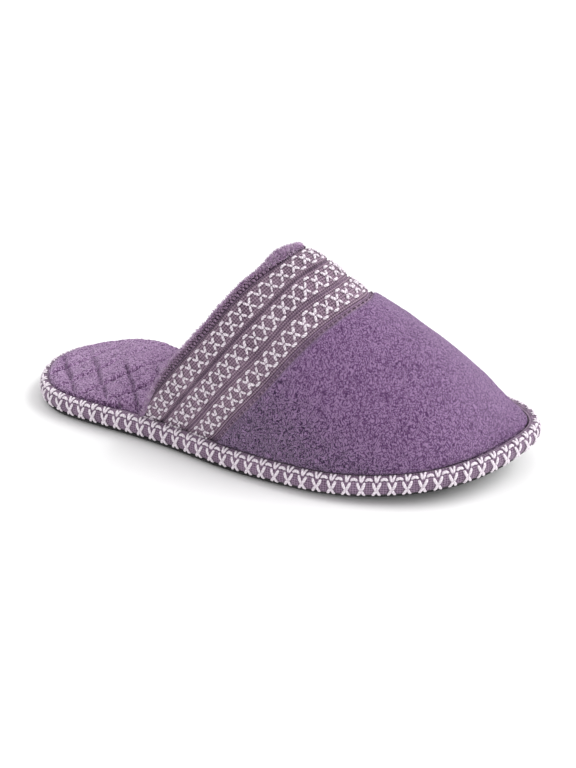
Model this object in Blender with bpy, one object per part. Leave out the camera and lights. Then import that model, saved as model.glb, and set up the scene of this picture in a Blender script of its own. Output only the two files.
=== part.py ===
# Scuff slipper for the right foot: a terry vamp with three woven tapes along its slanted collar,
# a padded insole, a woven tape bound round the edge and a thin rubber outsole.
# Metres. +X points to the toe, +Y to the inner side of the foot, +Z up, and the floor is z = 0.

from collections import namedtuple
from functools import lru_cache

import bmesh
import bpy
import numpy as np

# Driving sizes of the whole slipper
LENGTH = 0.2632
BALL_WIDTH = 0.1
INSTEP_HEIGHT = 0.0982
TOE_LIFT = 0.014

# Where things start along the sole, as shares of the length
TOE_LIFT_START = 0.6
COLLAR_FOOT = 0.268
COLLAR_TOP = 0.546
TOE_SETBACK_START = 0.8
INSOLE_RIM_LEAD = 0.031
INSOLE_RIM_FADE = 0.045
INSOLE_THIN_START = 0.78
INSOLE_THIN_END = 0.94

# Sole and edge
OUTSOLE_THICKNESS = 0.0024
OUTSOLE_INSET = 0.0036
OUTSOLE_EDGE_ROUND = 0.0006
BINDING_HEIGHT = 0.0093
BINDING_WIDTH = 0.0051
INSOLE_RISE = 0.0048
INSOLE_OVERHANG = 0.0022
INSOLE_SHELF = 0.0004
INSOLE_TOE_THINNING = 0.9

# Upper
UPPER_INSET = 0.0034
TOE_SETBACK = 0.0023
UPPER_WALL = 0.0042
TOE_ROUNDING = 0.016
SECTION_FULLNESS = 1.75
RIDGE_FULLNESS = 1.8
COLLAR_EDGE_ROUND = 0.0016

# Tapes across the vamp
TAPE_WIDTH = 0.0106
TAPE_THICKNESS = 0.0011
TAPE_SPACING = 0.0004
COLLAR_BORDER = 0.0036
FRONT_BORDER = 0.0032
TAPE_SINK = 0.0012
SEAM_DIP = 0.0004
SEAM_SHOULDER = 0.0055

# Room left between neighbouring pieces
CLEARANCE = 0.0003

# Fineness of the meshes, and the small steps that slopes are measured over
OUTLINE_STEPS = 1600
RING_STEPS = 88
ACROSS_STEPS = 38
BAND_STEPS = 3
TOE_STEPS = 13
LINE_STEP = 0.002
STATION_STEP = 0.0001
TURN_STEP = 0.001
FOOT_MARGIN = 0.02
SHARP_ANGLE = 40.0

SoleRow = namedtuple("SoleRow", "along outer_side inner_side")
RidgeRow = namedtuple("RidgeRow", "along height")
CollarRow = namedtuple("CollarRow", "rise forward")
EdgeRow = namedtuple("EdgeRow", "inward up")
CrownRow = namedtuple("CrownRow", "inward rise")

# The sole's plan: station as a share of the length, both sides as shares of the ball width
SOLE_ROWS = (
    SoleRow(0.012, -0.143, 0.132),
    SoleRow(0.045, -0.252, 0.246),
    SoleRow(0.120, -0.325, 0.336),
    SoleRow(0.220, -0.359, 0.369),
    SoleRow(0.340, -0.412, 0.387),
    SoleRow(0.460, -0.485, 0.411),
    SoleRow(0.580, -0.526, 0.447),
    SoleRow(0.680, -0.529, 0.466),
    SoleRow(0.780, -0.480, 0.455),
    SoleRow(0.870, -0.387, 0.411),
    SoleRow(0.940, -0.239, 0.336),
    SoleRow(0.985, -0.065, 0.225),
)
HEEL_POINT_ACROSS = -0.007
TOE_POINT_ACROSS = 0.088

# The vamp's ridge above the sole: station as a share of the length, height as a share of the instep height
RIDGE_ROWS = (
    RidgeRow(0.24, 1.420),
    RidgeRow(0.42, 1.150),
    RidgeRow(0.50, 1.045),
    RidgeRow(0.57, 0.960),
    RidgeRow(0.65, 0.795),
    RidgeRow(0.73, 0.645),
    RidgeRow(0.80, 0.505),
    RidgeRow(0.88, 0.315),
    RidgeRow(0.95, 0.085),
    RidgeRow(1.00, 0.030),
)

# The collar's sweep: share of the vamp's rise, and share of the way from the collar's feet to its top
COLLAR_ROWS = (
    CollarRow(0.00, 0.00),
    CollarRow(0.42, 0.37),
    CollarRow(0.65, 0.60),
    CollarRow(0.85, 0.81),
    CollarRow(1.00, 1.00),
)

# The edge tape's cross-section, as shares of its width and of its height
BINDING_ROWS = (
    EdgeRow(0.46, 0.00),
    EdgeRow(0.14, 0.10),
    EdgeRow(0.00, 0.38),
    EdgeRow(0.04, 0.66),
    EdgeRow(0.24, 0.90),
    EdgeRow(0.60, 1.00),
    EdgeRow(1.00, 1.00),
    EdgeRow(1.00, 0.00),
)

# The insole's crowned top: distance in from where the crown starts, as a share of the ball width, and share of its rise
CROWN_ROWS = (
    CrownRow(0.000, 0.00),
    CrownRow(0.002, 0.30),
    CrownRow(0.012, 0.60),
    CrownRow(0.035, 0.85),
    CrownRow(0.080, 1.00),
)

COLOURS = {
    "rubber": (0.020, 0.020, 0.023, 1.0),
    "edge_tape": (0.560, 0.470, 0.560, 1.0),
    "insole_terry": (0.300, 0.185, 0.355, 1.0),
    "vamp_terry": (0.262, 0.150, 0.330, 1.0),
    "woven_tape": (0.420, 0.330, 0.420, 1.0),
}


def clear_scene():
    for found in list(bpy.data.objects):
        bpy.data.objects.remove(found, do_unlink=True)


def smooth_step(value):
    eased = np.clip(value, 0.0, 1.0)
    return eased * eased * (3.0 - 2.0 * eased)


def closed_spline(points, samples):
    """A smooth closed curve through the points, as evenly spaced parameters of a periodic cubic spline."""
    count = len(points)
    following = np.roll(points, -1, axis=0)
    gaps = np.linalg.norm(following - points, axis=1)
    gaps_before = np.roll(gaps, 1)
    slopes = (following - points) / gaps[:, None]
    matrix = np.diag(2.0 * (gaps + gaps_before))
    for row in range(count):
        matrix[row, (row + 1) % count] += gaps[row]
        matrix[row, row - 1] += gaps_before[row]
    bends = np.linalg.solve(matrix, 6.0 * (slopes - np.roll(slopes, 1, axis=0)))
    knots = np.concatenate([[0.0], np.cumsum(gaps)])
    places = np.linspace(0.0, knots[-1], samples, endpoint=False)
    spans = np.searchsorted(knots, places, side="right") - 1
    gap = gaps[spans][:, None]
    into = (places - knots[spans])[:, None]
    left = gap - into
    bend_here = bends[spans]
    bend_next = bends[(spans + 1) % count]
    return (
        (bend_here * left**3 + bend_next * into**3) / (6.0 * gap)
        + (points[spans] / gap - bend_here * gap / 6.0) * left
        + (following[spans] / gap - bend_next * gap / 6.0) * into
    )


def outward_normals(curve):
    tangents = np.roll(curve, -1, axis=0) - np.roll(curve, 1, axis=0)
    tangents /= np.linalg.norm(tangents, axis=1)[:, None]
    return np.stack([tangents[:, 1], -tangents[:, 0]], axis=1)


def fine_outline():
    """The sole's plan as a dense curve that runs from the heel along the outer side to the toe and back."""
    heel = [(0.0, HEEL_POINT_ACROSS)]
    outer = [(row.along, row.outer_side) for row in SOLE_ROWS]
    toe = [(1.0, TOE_POINT_ACROSS)]
    inner = [(row.along, row.inner_side) for row in reversed(SOLE_ROWS)]
    points = np.array(heel + outer + toe + inner) * (LENGTH, BALL_WIDTH)
    curve = closed_spline(points, OUTLINE_STEPS)
    return np.roll(curve, -int(curve[:, 0].argmin()), axis=0)


FINE_OUTLINE = fine_outline()
FINE_NORMALS = outward_normals(FINE_OUTLINE)


def spaced(curve, count):
    """Indices of points at equal distances along an open stretch of curve."""
    steps = np.linalg.norm(np.diff(curve, axis=0), axis=1)
    run = np.concatenate([[0.0], np.cumsum(steps)])
    wanted = np.linspace(0.0, run[-1], count + 1)
    return np.searchsorted(run, wanted).clip(0, len(curve) - 1)


def ring_indices():
    """Ring points with equal numbers on both sides: the first at the heel, the middle one at the toe."""
    toe = int(FINE_OUTLINE[:, 0].argmax())
    half = RING_STEPS // 2
    outer = spaced(FINE_OUTLINE[: toe + 1], half)[:-1]
    inner = spaced(FINE_OUTLINE[toe:], half)[:-1] + toe
    return np.concatenate([outer, inner])


RING = ring_indices()
HEEL_AND_TOE = (FINE_OUTLINE[RING, 0].min(), FINE_OUTLINE[RING, 0].max())
BOTH_SIDES = (FINE_OUTLINE[RING, 1].min(), FINE_OUTLINE[RING, 1].max())
CENTRE = np.array([sum(HEEL_AND_TOE) / 2.0, sum(BOTH_SIDES) / 2.0, 0.0])

OUTSOLE_TOP = OUTSOLE_THICKNESS
BINDING_FOOT = OUTSOLE_TOP + CLEARANCE
SOLE_TOP = BINDING_FOOT + BINDING_HEIGHT
UPPER_FOOT = SOLE_TOP + CLEARANCE
INSOLE_INSET = BINDING_WIDTH + CLEARANCE


def toe_lift(along):
    """How far the sole has curled up off the floor at a station."""
    share = (along / LENGTH - TOE_LIFT_START) / (1.0 - TOE_LIFT_START)
    return TOE_LIFT * np.clip(share, 0.0, 1.0) ** 2


def toe_setback(along):
    """How much further in the vamp's foot runs near the toe."""
    share = (along / LENGTH - TOE_SETBACK_START) / (1.0 - TOE_SETBACK_START)
    return TOE_SETBACK * smooth_step(share)


def sole_ring(inset, height):
    """A ring round the sole, set in from its plan. The inset is one number or one for each ring point."""
    inset = np.broadcast_to(np.asarray(inset, float), (len(RING),))
    plan = FINE_OUTLINE[RING] - FINE_NORMALS[RING] * inset[:, None]
    return np.column_stack([plan, height + toe_lift(plan[:, 0])])


@lru_cache(maxsize=None)
def side_curves(inset):
    """Both sides of the vamp's plan, each as stations and places across, and the toe's station."""
    setback = inset + toe_setback(FINE_OUTLINE[:, 0])
    plan = FINE_OUTLINE - FINE_NORMALS * setback[:, None]
    toe = int(plan[:, 0].argmax())
    outer = plan[: toe + 1]
    inner = plan[toe:][::-1]
    return outer, inner, plan[toe]


def sections(along, inset):
    """Both sides of the vamp's plan at these stations."""
    outer, inner, toe = side_curves(inset)
    outer_side = np.interp(along, outer[:, 0], outer[:, 1])
    inner_side = np.interp(along, inner[:, 0], inner[:, 1])
    return outer_side, inner_side, toe[0]


def smooth_table(places, values, wanted):
    """Values on one smooth curve through a table, at the wanted places."""
    slopes = np.gradient(values, places)
    span = np.clip(np.searchsorted(places, wanted, side="right") - 1, 0, len(places) - 2)
    width = places[span + 1] - places[span]
    share = np.clip((wanted - places[span]) / width, 0.0, 1.0)
    rising = share * share * (3.0 - 2.0 * share)
    return (
        values[span] * (1.0 - rising)
        + values[span + 1] * rising
        + slopes[span] * width * share * (1.0 - share) ** 2
        - slopes[span + 1] * width * share**2 * (1.0 - share)
    )


def ridge_height(along):
    """The vamp's height above the sole, before its toe is rounded."""
    stations = np.array([row.along for row in RIDGE_ROWS]) * LENGTH
    heights = np.array([row.height for row in RIDGE_ROWS]) * INSTEP_HEIGHT
    return smooth_table(stations, heights, along)


def vamp(along, turn, depth):
    """Points on the vamp, this deep under its outer face. The turn runs from 0 at the outer side's foot,
    over the ridge at a half, to 1 at the inner side's foot."""
    along, turn, depth = np.broadcast_arrays(along, turn, depth)
    points = np.empty(along.shape + (3,))
    for deep in np.unique(depth):
        here = depth == deep
        points[here] = vamp_at_depth(along[here], turn[here], float(deep))
    return points


def vamp_at_depth(along, turn, depth):
    outer_side, inner_side, toe = sections(along, round(UPPER_INSET + depth, 6))
    middle = (outer_side + inner_side) / 2.0
    half = (inner_side - outer_side) / 2.0
    to_toe = np.clip((toe - along) / TOE_ROUNDING, 0.0, 1.0)
    rounding = np.sqrt(np.maximum(1.0 - (1.0 - to_toe) ** 2, 0.0))
    height = (ridge_height(along) - depth) * rounding
    cosine = np.cos(np.pi * turn)
    sine = np.clip(np.sin(np.pi * turn), 0.0, 1.0)
    across = middle - half * np.sign(cosine) * np.abs(cosine) ** (2.0 / SECTION_FULLNESS)
    up = UPPER_FOOT + toe_lift(along) + height * sine ** (2.0 / RIDGE_FULLNESS)
    return np.stack([along, across, up], axis=-1)


TURNS = np.linspace(0.0, 1.0, ACROSS_STEPS + 1)


def collar_line():
    """The collar's station at each turn: far back at both feet, and forward on the ridge."""
    rises = np.array([row.rise for row in COLLAR_ROWS])
    shares = np.array([row.forward for row in COLLAR_ROWS])
    forward = smooth_table(rises, shares, np.clip(np.sin(np.pi * TURNS), 0.0, 1.0))
    return LENGTH * (COLLAR_FOOT + (COLLAR_TOP - COLLAR_FOOT) * forward)


def moved_forward(line, distance):
    """The line on the vamp that runs beside this one, this far towards the toe along the surface."""
    steps = max(1, int(np.ceil(distance / LINE_STEP)))
    inside = np.clip(TURNS, FOOT_MARGIN, 1.0 - FOOT_MARGIN)
    for _ in range(steps):
        slope = np.gradient(line, TURNS)
        ahead = vamp(line + STATION_STEP, inside, 0.0)
        behind = vamp(line - STATION_STEP, inside, 0.0)
        later = vamp(line, inside + TURN_STEP, 0.0)
        earlier = vamp(line, inside - TURN_STEP, 0.0)
        by_station = (ahead - behind) / (2.0 * STATION_STEP)
        by_turn = (later - earlier) / (2.0 * TURN_STEP)
        tangent = by_station * slope[:, None] + by_turn
        area = np.linalg.norm(np.cross(by_station, by_turn), axis=1)
        line = line + distance / steps * np.linalg.norm(tangent, axis=1) / area
    return line


TAPE_TOP = TAPE_SINK
TAPE_UNDERSIDE = TAPE_TOP + TAPE_THICKNESS
TAPE_BED = TAPE_UNDERSIDE + CLEARANCE
TAPE_STARTS = [COLLAR_BORDER + CLEARANCE + number * (TAPE_WIDTH + TAPE_SPACING) for number in range(3)]
BAND_END = TAPE_STARTS[-1] + TAPE_WIDTH + FRONT_BORDER


def upper_lines():
    """The upper's lines from collar to toe, outside and inside, each as stations and a depth."""
    collar = collar_line()
    bed_end = BAND_END + CLEARANCE
    outside = [
        (moved_forward(collar, 0.0), TAPE_SINK + COLLAR_EDGE_ROUND),
        (moved_forward(collar, COLLAR_EDGE_ROUND), TAPE_SINK),
        (moved_forward(collar, COLLAR_BORDER - CLEARANCE), TAPE_SINK),
        (moved_forward(collar, COLLAR_BORDER), TAPE_BED),
    ]
    for start in TAPE_STARTS[1:]:
        outside.append((moved_forward(collar, start - TAPE_SPACING / 2.0), TAPE_BED))
    outside += [
        (moved_forward(collar, bed_end), TAPE_BED),
        (moved_forward(collar, bed_end + SEAM_DIP), TAPE_BED),
        (moved_forward(collar, bed_end + SEAM_SHOULDER / 4.0), TAPE_SINK),
        (moved_forward(collar, bed_end + SEAM_SHOULDER / 2.0), TAPE_SINK / 3.0),
        (moved_forward(collar, bed_end + SEAM_SHOULDER), 0.0),
    ]
    inside = [(line, UPPER_WALL) for line, _ in outside]
    return outside, inside


def upper_grid(lines):
    """Rows of points from the collar to the toe. The last row is the toe's own point, all across."""
    rows = [vamp(line, TURNS, depth) for line, depth in lines]
    last_line, depth = lines[-1]
    toe = side_curves(round(UPPER_INSET + depth, 6))[2][0]
    for step in range(1, TOE_STEPS + 1):
        share = np.sin(np.pi / 2.0 * step / TOE_STEPS)
        rows.append(vamp(last_line + (toe - last_line) * share, TURNS, depth))
    rows[-1][:] = rows[-1][0]
    return np.array(rows)


def new_mesh_object(name, points, faces, material):
    """One closed solid from points measured from the heel, moved to the part's own origin."""
    mesh = bpy.data.meshes.new(name)
    shape = bmesh.new()
    corners = [shape.verts.new(point) for point in np.asarray(points) - CENTRE]
    for face in faces:
        shape.faces.new([corners[index] for index in face])
    bmesh.ops.remove_doubles(shape, verts=shape.verts, dist=1e-7)
    bmesh.ops.recalc_face_normals(shape, faces=shape.faces)
    shape.to_mesh(mesh)
    shape.free()
    mesh.shade_smooth()
    mesh.set_sharp_from_angle(angle=np.radians(SHARP_ANGLE))
    made = bpy.data.objects.new(name, mesh)
    made.data.materials.append(material)
    bpy.context.scene.collection.objects.link(made)
    return made


def new_material(name, colour, roughness):
    material = bpy.data.materials.new(name)
    material.use_nodes = True
    shader = material.node_tree.nodes["Principled BSDF"]
    shader.inputs["Base Color"].default_value = colour
    shader.inputs["Roughness"].default_value = roughness
    shader.inputs["Metallic"].default_value = 0.0
    return material


def grid_faces(rows, columns, start, flipped=False):
    """Quads of a grid of points that is stored row by row."""
    faces = []
    for row in range(rows - 1):
        for column in range(columns - 1):
            corner = start + row * columns + column
            face = (corner, corner + 1, corner + columns + 1, corner + columns)
            faces.append(face[::-1] if flipped else face)
    return faces


def shell(name, outside, inside, material):
    """A solid between two grids of the same size, closed along all four of their edges."""
    rows, columns = outside.shape[:2]
    count = rows * columns
    points = np.concatenate([outside.reshape(-1, 3), inside.reshape(-1, 3)])
    faces = grid_faces(rows, columns, 0) + grid_faces(rows, columns, count, flipped=True)
    border = list(range(columns - 1))
    border += [row * columns + columns - 1 for row in range(rows - 1)]
    border += [(rows - 1) * columns + column for column in range(columns - 1, 0, -1)]
    border += [row * columns for row in range(rows - 1, 0, -1)]
    for here, there in zip(border, border[1:] + border[:1]):
        if not np.allclose(points[here], points[there], atol=1e-9):
            faces.append((there, here, here + count, there + count))
    return new_mesh_object(name, points, dropped_flat_faces(points, faces), material)


def dropped_flat_faces(points, faces):
    """Faces with the corners that share one place merged, and without those that have fewer than three left."""
    kept = []
    for face in faces:
        corners = []
        for index in face:
            if not any(np.allclose(points[index], points[other], atol=1e-9) for other in corners):
                corners.append(index)
        if len(corners) > 2:
            kept.append(tuple(corners))
    return kept


def ring_faces(first, second, count):
    return [
        (first + step, first + (step + 1) % count, second + (step + 1) % count, second + step)
        for step in range(count)
    ]


def ladder_faces(start, count):
    """Fills a ring with rungs that join its two sides."""
    faces = [(start, start + 1, start + count - 1)]
    for step in range(1, count // 2 - 1):
        faces.append((start + step, start + step + 1, start + count - step - 1, start + count - step))
    toe = count // 2
    faces.append((start + toe - 1, start + toe, start + toe + 1))
    return faces


def stack_of_rings(name, rings, material, filled):
    """A solid from rings: closed at both ends with rungs, or joined end to end as a hoop."""
    count = len(rings[0])
    faces = []
    for number in range(len(rings) - 1):
        faces += ring_faces(number * count, (number + 1) * count, count)
    last = (len(rings) - 1) * count
    if filled:
        faces += ladder_faces(0, count) + ladder_faces(last, count)
    else:
        faces += ring_faces(last, 0, count)
    return new_mesh_object(name, np.concatenate(rings), faces, material)


def make_outsole(material):
    rings = [
        sole_ring(OUTSOLE_INSET + OUTSOLE_EDGE_ROUND, 0.0),
        sole_ring(OUTSOLE_INSET, OUTSOLE_EDGE_ROUND),
        sole_ring(OUTSOLE_INSET, OUTSOLE_TOP),
    ]
    return stack_of_rings("outsole", rings, material, filled=True)


def make_edge_binding(material):
    rings = [
        sole_ring(row.inward * BINDING_WIDTH, BINDING_FOOT + row.up * BINDING_HEIGHT)
        for row in BINDING_ROWS
    ]
    return stack_of_rings("edge_binding", rings, material, filled=False)


def make_insole(material):
    """A pad that fills the edge tape. It has a level rim for the vamp's wall to stand on, and where the heel
    lies open it swells out over the edge tape instead."""
    along = FINE_OUTLINE[RING, 0]
    past_lead = along / LENGTH - (COLLAR_FOOT - INSOLE_RIM_LEAD)
    under_vamp = smooth_step(past_lead / INSOLE_RIM_FADE + 1.0)
    rim_height = SOLE_TOP + CLEARANCE * (1.0 - under_vamp)
    rim = INSOLE_INSET + INSOLE_SHELF - (INSOLE_OVERHANG + INSOLE_SHELF) * (1.0 - under_vamp)
    wall_room = UPPER_INSET + UPPER_WALL + CLEARANCE - INSOLE_INSET + toe_setback(along)
    crown_start = rim + INSOLE_SHELF + wall_room * under_vamp
    into_toe = (along / LENGTH - INSOLE_THIN_START) / (INSOLE_THIN_END - INSOLE_THIN_START)
    rise = INSOLE_RISE * (1.0 - INSOLE_TOE_THINNING * smooth_step(into_toe))
    rings = [
        sole_ring(INSOLE_INSET, BINDING_FOOT),
        sole_ring(INSOLE_INSET, rim_height),
        sole_ring(rim, rim_height),
    ]
    for row in CROWN_ROWS:
        inset = crown_start + row.inward * BALL_WIDTH
        rings.append(sole_ring(inset, rim_height + row.rise * rise))
    return stack_of_rings("insole", rings, material, filled=True)


def make_upper(material):
    outside, inside = upper_lines()
    return shell("upper", upper_grid(outside), upper_grid(inside), material)


def make_tape(name, start, width, material):
    """One tape across the vamp, from foot to foot, lying in the bed behind the terry."""
    collar = collar_line()
    lines = [
        moved_forward(collar, start + width * step / BAND_STEPS)
        for step in range(BAND_STEPS + 1)
    ]
    outside = np.array([vamp(line, TURNS, TAPE_TOP) for line in lines])
    inside = np.array([vamp(line, TURNS, TAPE_UNDERSIDE) for line in lines])
    return shell(name, outside, inside, material)


def make_slipper():
    rubber = new_material("rubber", COLOURS["rubber"], 0.65)
    edge_tape = new_material("edge_tape", COLOURS["edge_tape"], 0.85)
    insole_terry = new_material("insole_terry", COLOURS["insole_terry"], 0.95)
    vamp_terry = new_material("vamp_terry", COLOURS["vamp_terry"], 0.95)
    woven_tape = new_material("woven_tape", COLOURS["woven_tape"], 0.85)
    make_outsole(rubber)
    make_edge_binding(edge_tape)
    make_insole(insole_terry)
    make_upper(vamp_terry)
    widths = (TAPE_WIDTH, TAPE_WIDTH, TAPE_WIDTH + FRONT_BORDER)
    for name, start, width in zip(("collar_tape", "middle_tape", "front_tape"), TAPE_STARTS, widths):
        make_tape(name, start, width, woven_tape)


clear_scene()
make_slipper()
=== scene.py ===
import math

import bpy
import numpy as np
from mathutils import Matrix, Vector, kdtree, noise


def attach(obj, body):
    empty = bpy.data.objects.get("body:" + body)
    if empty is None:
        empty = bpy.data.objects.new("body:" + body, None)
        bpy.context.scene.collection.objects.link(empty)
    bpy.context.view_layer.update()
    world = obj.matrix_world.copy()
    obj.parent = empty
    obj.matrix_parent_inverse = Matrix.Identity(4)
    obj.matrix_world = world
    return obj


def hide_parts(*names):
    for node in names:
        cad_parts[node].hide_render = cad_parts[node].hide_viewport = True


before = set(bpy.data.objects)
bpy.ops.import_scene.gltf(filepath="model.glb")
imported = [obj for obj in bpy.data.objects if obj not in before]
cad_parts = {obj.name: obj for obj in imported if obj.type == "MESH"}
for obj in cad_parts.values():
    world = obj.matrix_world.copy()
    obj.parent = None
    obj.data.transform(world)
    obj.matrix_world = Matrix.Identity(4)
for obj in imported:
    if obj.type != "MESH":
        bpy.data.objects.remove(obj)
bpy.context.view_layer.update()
print("frame loaded, with", len(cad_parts), "nodes")

shoe = {  # the slipper's own sizes in metres, close to those of its solids
    "length": 0.2632,
    "ballWidth": 0.1,
    "instepHeight": 0.0982,
    "toeLift": 0.014,
    "toeLiftStart": 0.6,  # share of the length
    "toeSetback": 0.0023,
    "toeSetbackStart": 0.8,  # share of the length
    "bindingFoot": 0.0027,
    "bindingHeight": 0.0093,
    "bindingWidth": 0.0051,
    "upperFoot": 0.0123,
    "upperInset": 0.0034,
    "toeRounding": 0.016,
    "sectionFullness": 1.75,
    "ridgeFullness": 1.8,
    "outlineSteps": 3200,
}
underStep = 4  # a shell's hidden side keeps every fourth row and column of the seen one

soleRows = (  # share along, outer side and inner side as shares of the ball width
    (0.012, -0.143, 0.132), (0.045, -0.252, 0.246), (0.120, -0.325, 0.336),
    (0.220, -0.359, 0.369), (0.340, -0.412, 0.387), (0.460, -0.485, 0.411),
    (0.580, -0.526, 0.447), (0.680, -0.529, 0.466), (0.780, -0.480, 0.455),
    (0.870, -0.387, 0.411), (0.940, -0.239, 0.318), (0.985, -0.065, 0.190),
)
heelPoint = (0.0, -0.007)
toePoint = (1.0, 0.074)
ridgeRows = (  # share along, share of the instep height
    (0.24, 1.420), (0.42, 1.080), (0.50, 0.955), (0.57, 0.934), (0.65, 0.784),
    (0.73, 0.640), (0.80, 0.493), (0.88, 0.280), (0.95, 0.052), (1.00, 0.020),
)
bindingRows = (  # shares of the edge tape's width inward and of its height
    (0.46, 0.00), (0.14, 0.10), (0.00, 0.38), (0.04, 0.66), (0.24, 0.90), (0.60, 1.00), (1.00, 1.00),
)


def smoothStep(value):
    eased = np.clip(value, 0.0, 1.0)
    return eased * eased * (3.0 - 2.0 * eased)


def hump(value, middle, width):  # 1 at the middle, falling smoothly to 0 on both sides
    return np.exp(-((value - middle) / width) ** 2)


def roundedEdge(distance, radius):  # a quarter circle's height, from 0 at the edge to 1 past the radius
    return np.sqrt(np.clip(1.0 - (1.0 - np.clip(distance / radius, 0.0, 1.0)) ** 2, 0.0, 1.0))


def closedSpline(points, samples):  # a smooth closed curve through the points, read at even steps
    count = len(points)
    following = np.roll(points, -1, axis=0)
    gaps = np.linalg.norm(following - points, axis=1)
    gapsBefore = np.roll(gaps, 1)
    slopes = (following - points) / gaps[:, None]
    matrix = np.diag(2.0 * (gaps + gapsBefore))
    for row in range(count):
        matrix[row, (row + 1) % count] += gaps[row]
        matrix[row, row - 1] += gapsBefore[row]
    bends = np.linalg.solve(matrix, 6.0 * (slopes - np.roll(slopes, 1, axis=0)))
    knots = np.concatenate([[0.0], np.cumsum(gaps)])
    places = np.linspace(0.0, knots[-1], samples, endpoint=False)
    spans = np.searchsorted(knots, places, side="right") - 1
    gap = gaps[spans][:, None]
    into = (places - knots[spans])[:, None]
    left = gap - into
    bendHere = bends[spans]
    bendNext = bends[(spans + 1) % count]
    return (
        (bendHere * left**3 + bendNext * into**3) / (6.0 * gap)
        + (points[spans] / gap - bendHere * gap / 6.0) * left
        + (following[spans] / gap - bendNext * gap / 6.0) * into
    )


def makeOutline():
    outer = [(row[0], row[1]) for row in soleRows]
    inner = [(row[0], row[2]) for row in reversed(soleRows)]
    points = np.array([heelPoint] + outer + [toePoint] + inner) * (shoe["length"], shoe["ballWidth"])
    curve = closedSpline(points, shoe["outlineSteps"])
    return np.roll(curve, -int(curve[:, 0].argmin()), axis=0)


outline = makeOutline()  # from the heel along the outer side to the toe and back
outlineTangents = np.roll(outline, -1, axis=0) - np.roll(outline, 1, axis=0)
outlineTangents /= np.linalg.norm(outlineTangents, axis=1)[:, None]
outlineNormals = np.stack([outlineTangents[:, 1], -outlineTangents[:, 0]], axis=1)
centre = np.array([*((outline.min(axis=0) + outline.max(axis=0)) / 2.0), 0.0])


def toeLift(along):
    share = (along / shoe["length"] - shoe["toeLiftStart"]) / (1.0 - shoe["toeLiftStart"])
    return shoe["toeLift"] * np.clip(share, 0.0, 1.0) ** 2


def sideCurves(inset):  # the plan's two sides, set in by this much, and its toe
    plan = outline - outlineNormals * np.broadcast_to(inset, (len(outline),))[:, None]
    toe = int(plan[:, 0].argmax())
    heel = int(plan[:, 0].argmin())
    if heel > toe:
        heel = 0
    return plan[heel:toe + 1], plan[toe:][::-1], plan[toe]


sideStore = {}


def vampSides(depth):
    key = round(float(depth), 6)
    if key not in sideStore:
        share = (outline[:, 0] / shoe["length"] - shoe["toeSetbackStart"]) / (1.0 - shoe["toeSetbackStart"])
        sideStore[key] = sideCurves(shoe["upperInset"] + key + shoe["toeSetback"] * smoothStep(share))
    return sideStore[key]


def smoothTable(rows, wanted):  # reads a table of places and values along a smooth curve
    places = np.array([row[0] for row in rows])
    values = np.array([row[1] for row in rows])
    slopes = np.gradient(values, places)
    span = np.clip(np.searchsorted(places, wanted, side="right") - 1, 0, len(places) - 2)
    width = places[span + 1] - places[span]
    share = np.clip((wanted - places[span]) / width, 0.0, 1.0)
    rising = share * share * (3.0 - 2.0 * share)
    return (
        values[span] * (1.0 - rising)
        + values[span + 1] * rising
        + slopes[span] * width * share * (1.0 - share) ** 2
        - slopes[span + 1] * width * share**2 * (1.0 - share)
    )


# Turn is 0 at the vamp's outer foot, a half on its ridge and 1 at its inner foot.
def vamp(along, turn, depth=0.0):
    outer, inner, toe = vampSides(depth)
    outerSide = np.interp(along, outer[:, 0], outer[:, 1])
    innerSide = np.interp(along, inner[:, 0], inner[:, 1])
    rounding = roundedEdge(toe[0] - along, shoe["toeRounding"])
    height = (smoothTable(ridgeRows, along / shoe["length"]) * shoe["instepHeight"] - depth) * rounding
    cosine = np.cos(np.pi * turn)
    sine = np.clip(np.sin(np.pi * turn), 0.0, 1.0)
    bulge = np.sign(cosine) * np.abs(cosine) ** (2.0 / shoe["sectionFullness"])
    across = (outerSide + innerSide) / 2.0 - (innerSide - outerSide) / 2.0 * bulge
    up = shoe["upperFoot"] + toeLift(along) + height * sine ** (2.0 / shoe["ridgeFullness"])
    return np.stack(np.broadcast_arrays(along, across, up), axis=-1)


# The line beside this one on the vamp, at this distance along the surface towards the toe.
def movedLine(line, turns, distance, footMargin=0.02, small=0.0001, smallTurn=0.001):
    inside = np.clip(turns, footMargin, 1.0 - footMargin)
    slope = np.gradient(line, turns)
    byStation = (vamp(line + small, inside) - vamp(line - small, inside)) / (2.0 * small)
    byTurn = (vamp(line, inside + smallTurn) - vamp(line, inside - smallTurn)) / (2.0 * smallTurn)
    tangent = byStation * slope[:, None] + byTurn
    area = np.linalg.norm(np.cross(byStation, byTurn), axis=1)
    return line + distance * np.linalg.norm(tangent, axis=1) / area


def gridNormals(points, outwards):
    normals = np.cross(np.gradient(points, axis=0), np.gradient(points, axis=1))
    normals /= np.maximum(np.linalg.norm(normals, axis=2), 1e-12)[..., None]
    middle = normals[points.shape[0] // 2, points.shape[1] // 2]
    return normals if middle @ np.array(outwards) > 0 else -normals


def noiseAt(points, size, seed):  # soft noise from -1 to 1, with features of this size
    flat = points.reshape(-1, 3) / size + seed
    return np.array([noise.noise(Vector(p)) for p in flat]).reshape(points.shape[:-1])


def cellsAt(points, size, seed, contrast):  # 0 in the cracks between crumbs of this size, 1 on the crumbs
    flat = points.reshape(-1, 3) / size + seed
    found = np.array([noise.voronoi(Vector(p))[0][:2] for p in flat])
    return np.clip((found[:, 1] - found[:, 0]) * contrast, 0.0, 1.0).reshape(points.shape[:-1])


def warped(points, size, strength):  # points pushed about by soft noise, with a seed for each axis
    shift = np.stack([noiseAt(points, size, seed) for seed in (3.1, 17.7, 41.3)], axis=-1)
    return points + shift * strength


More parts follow.
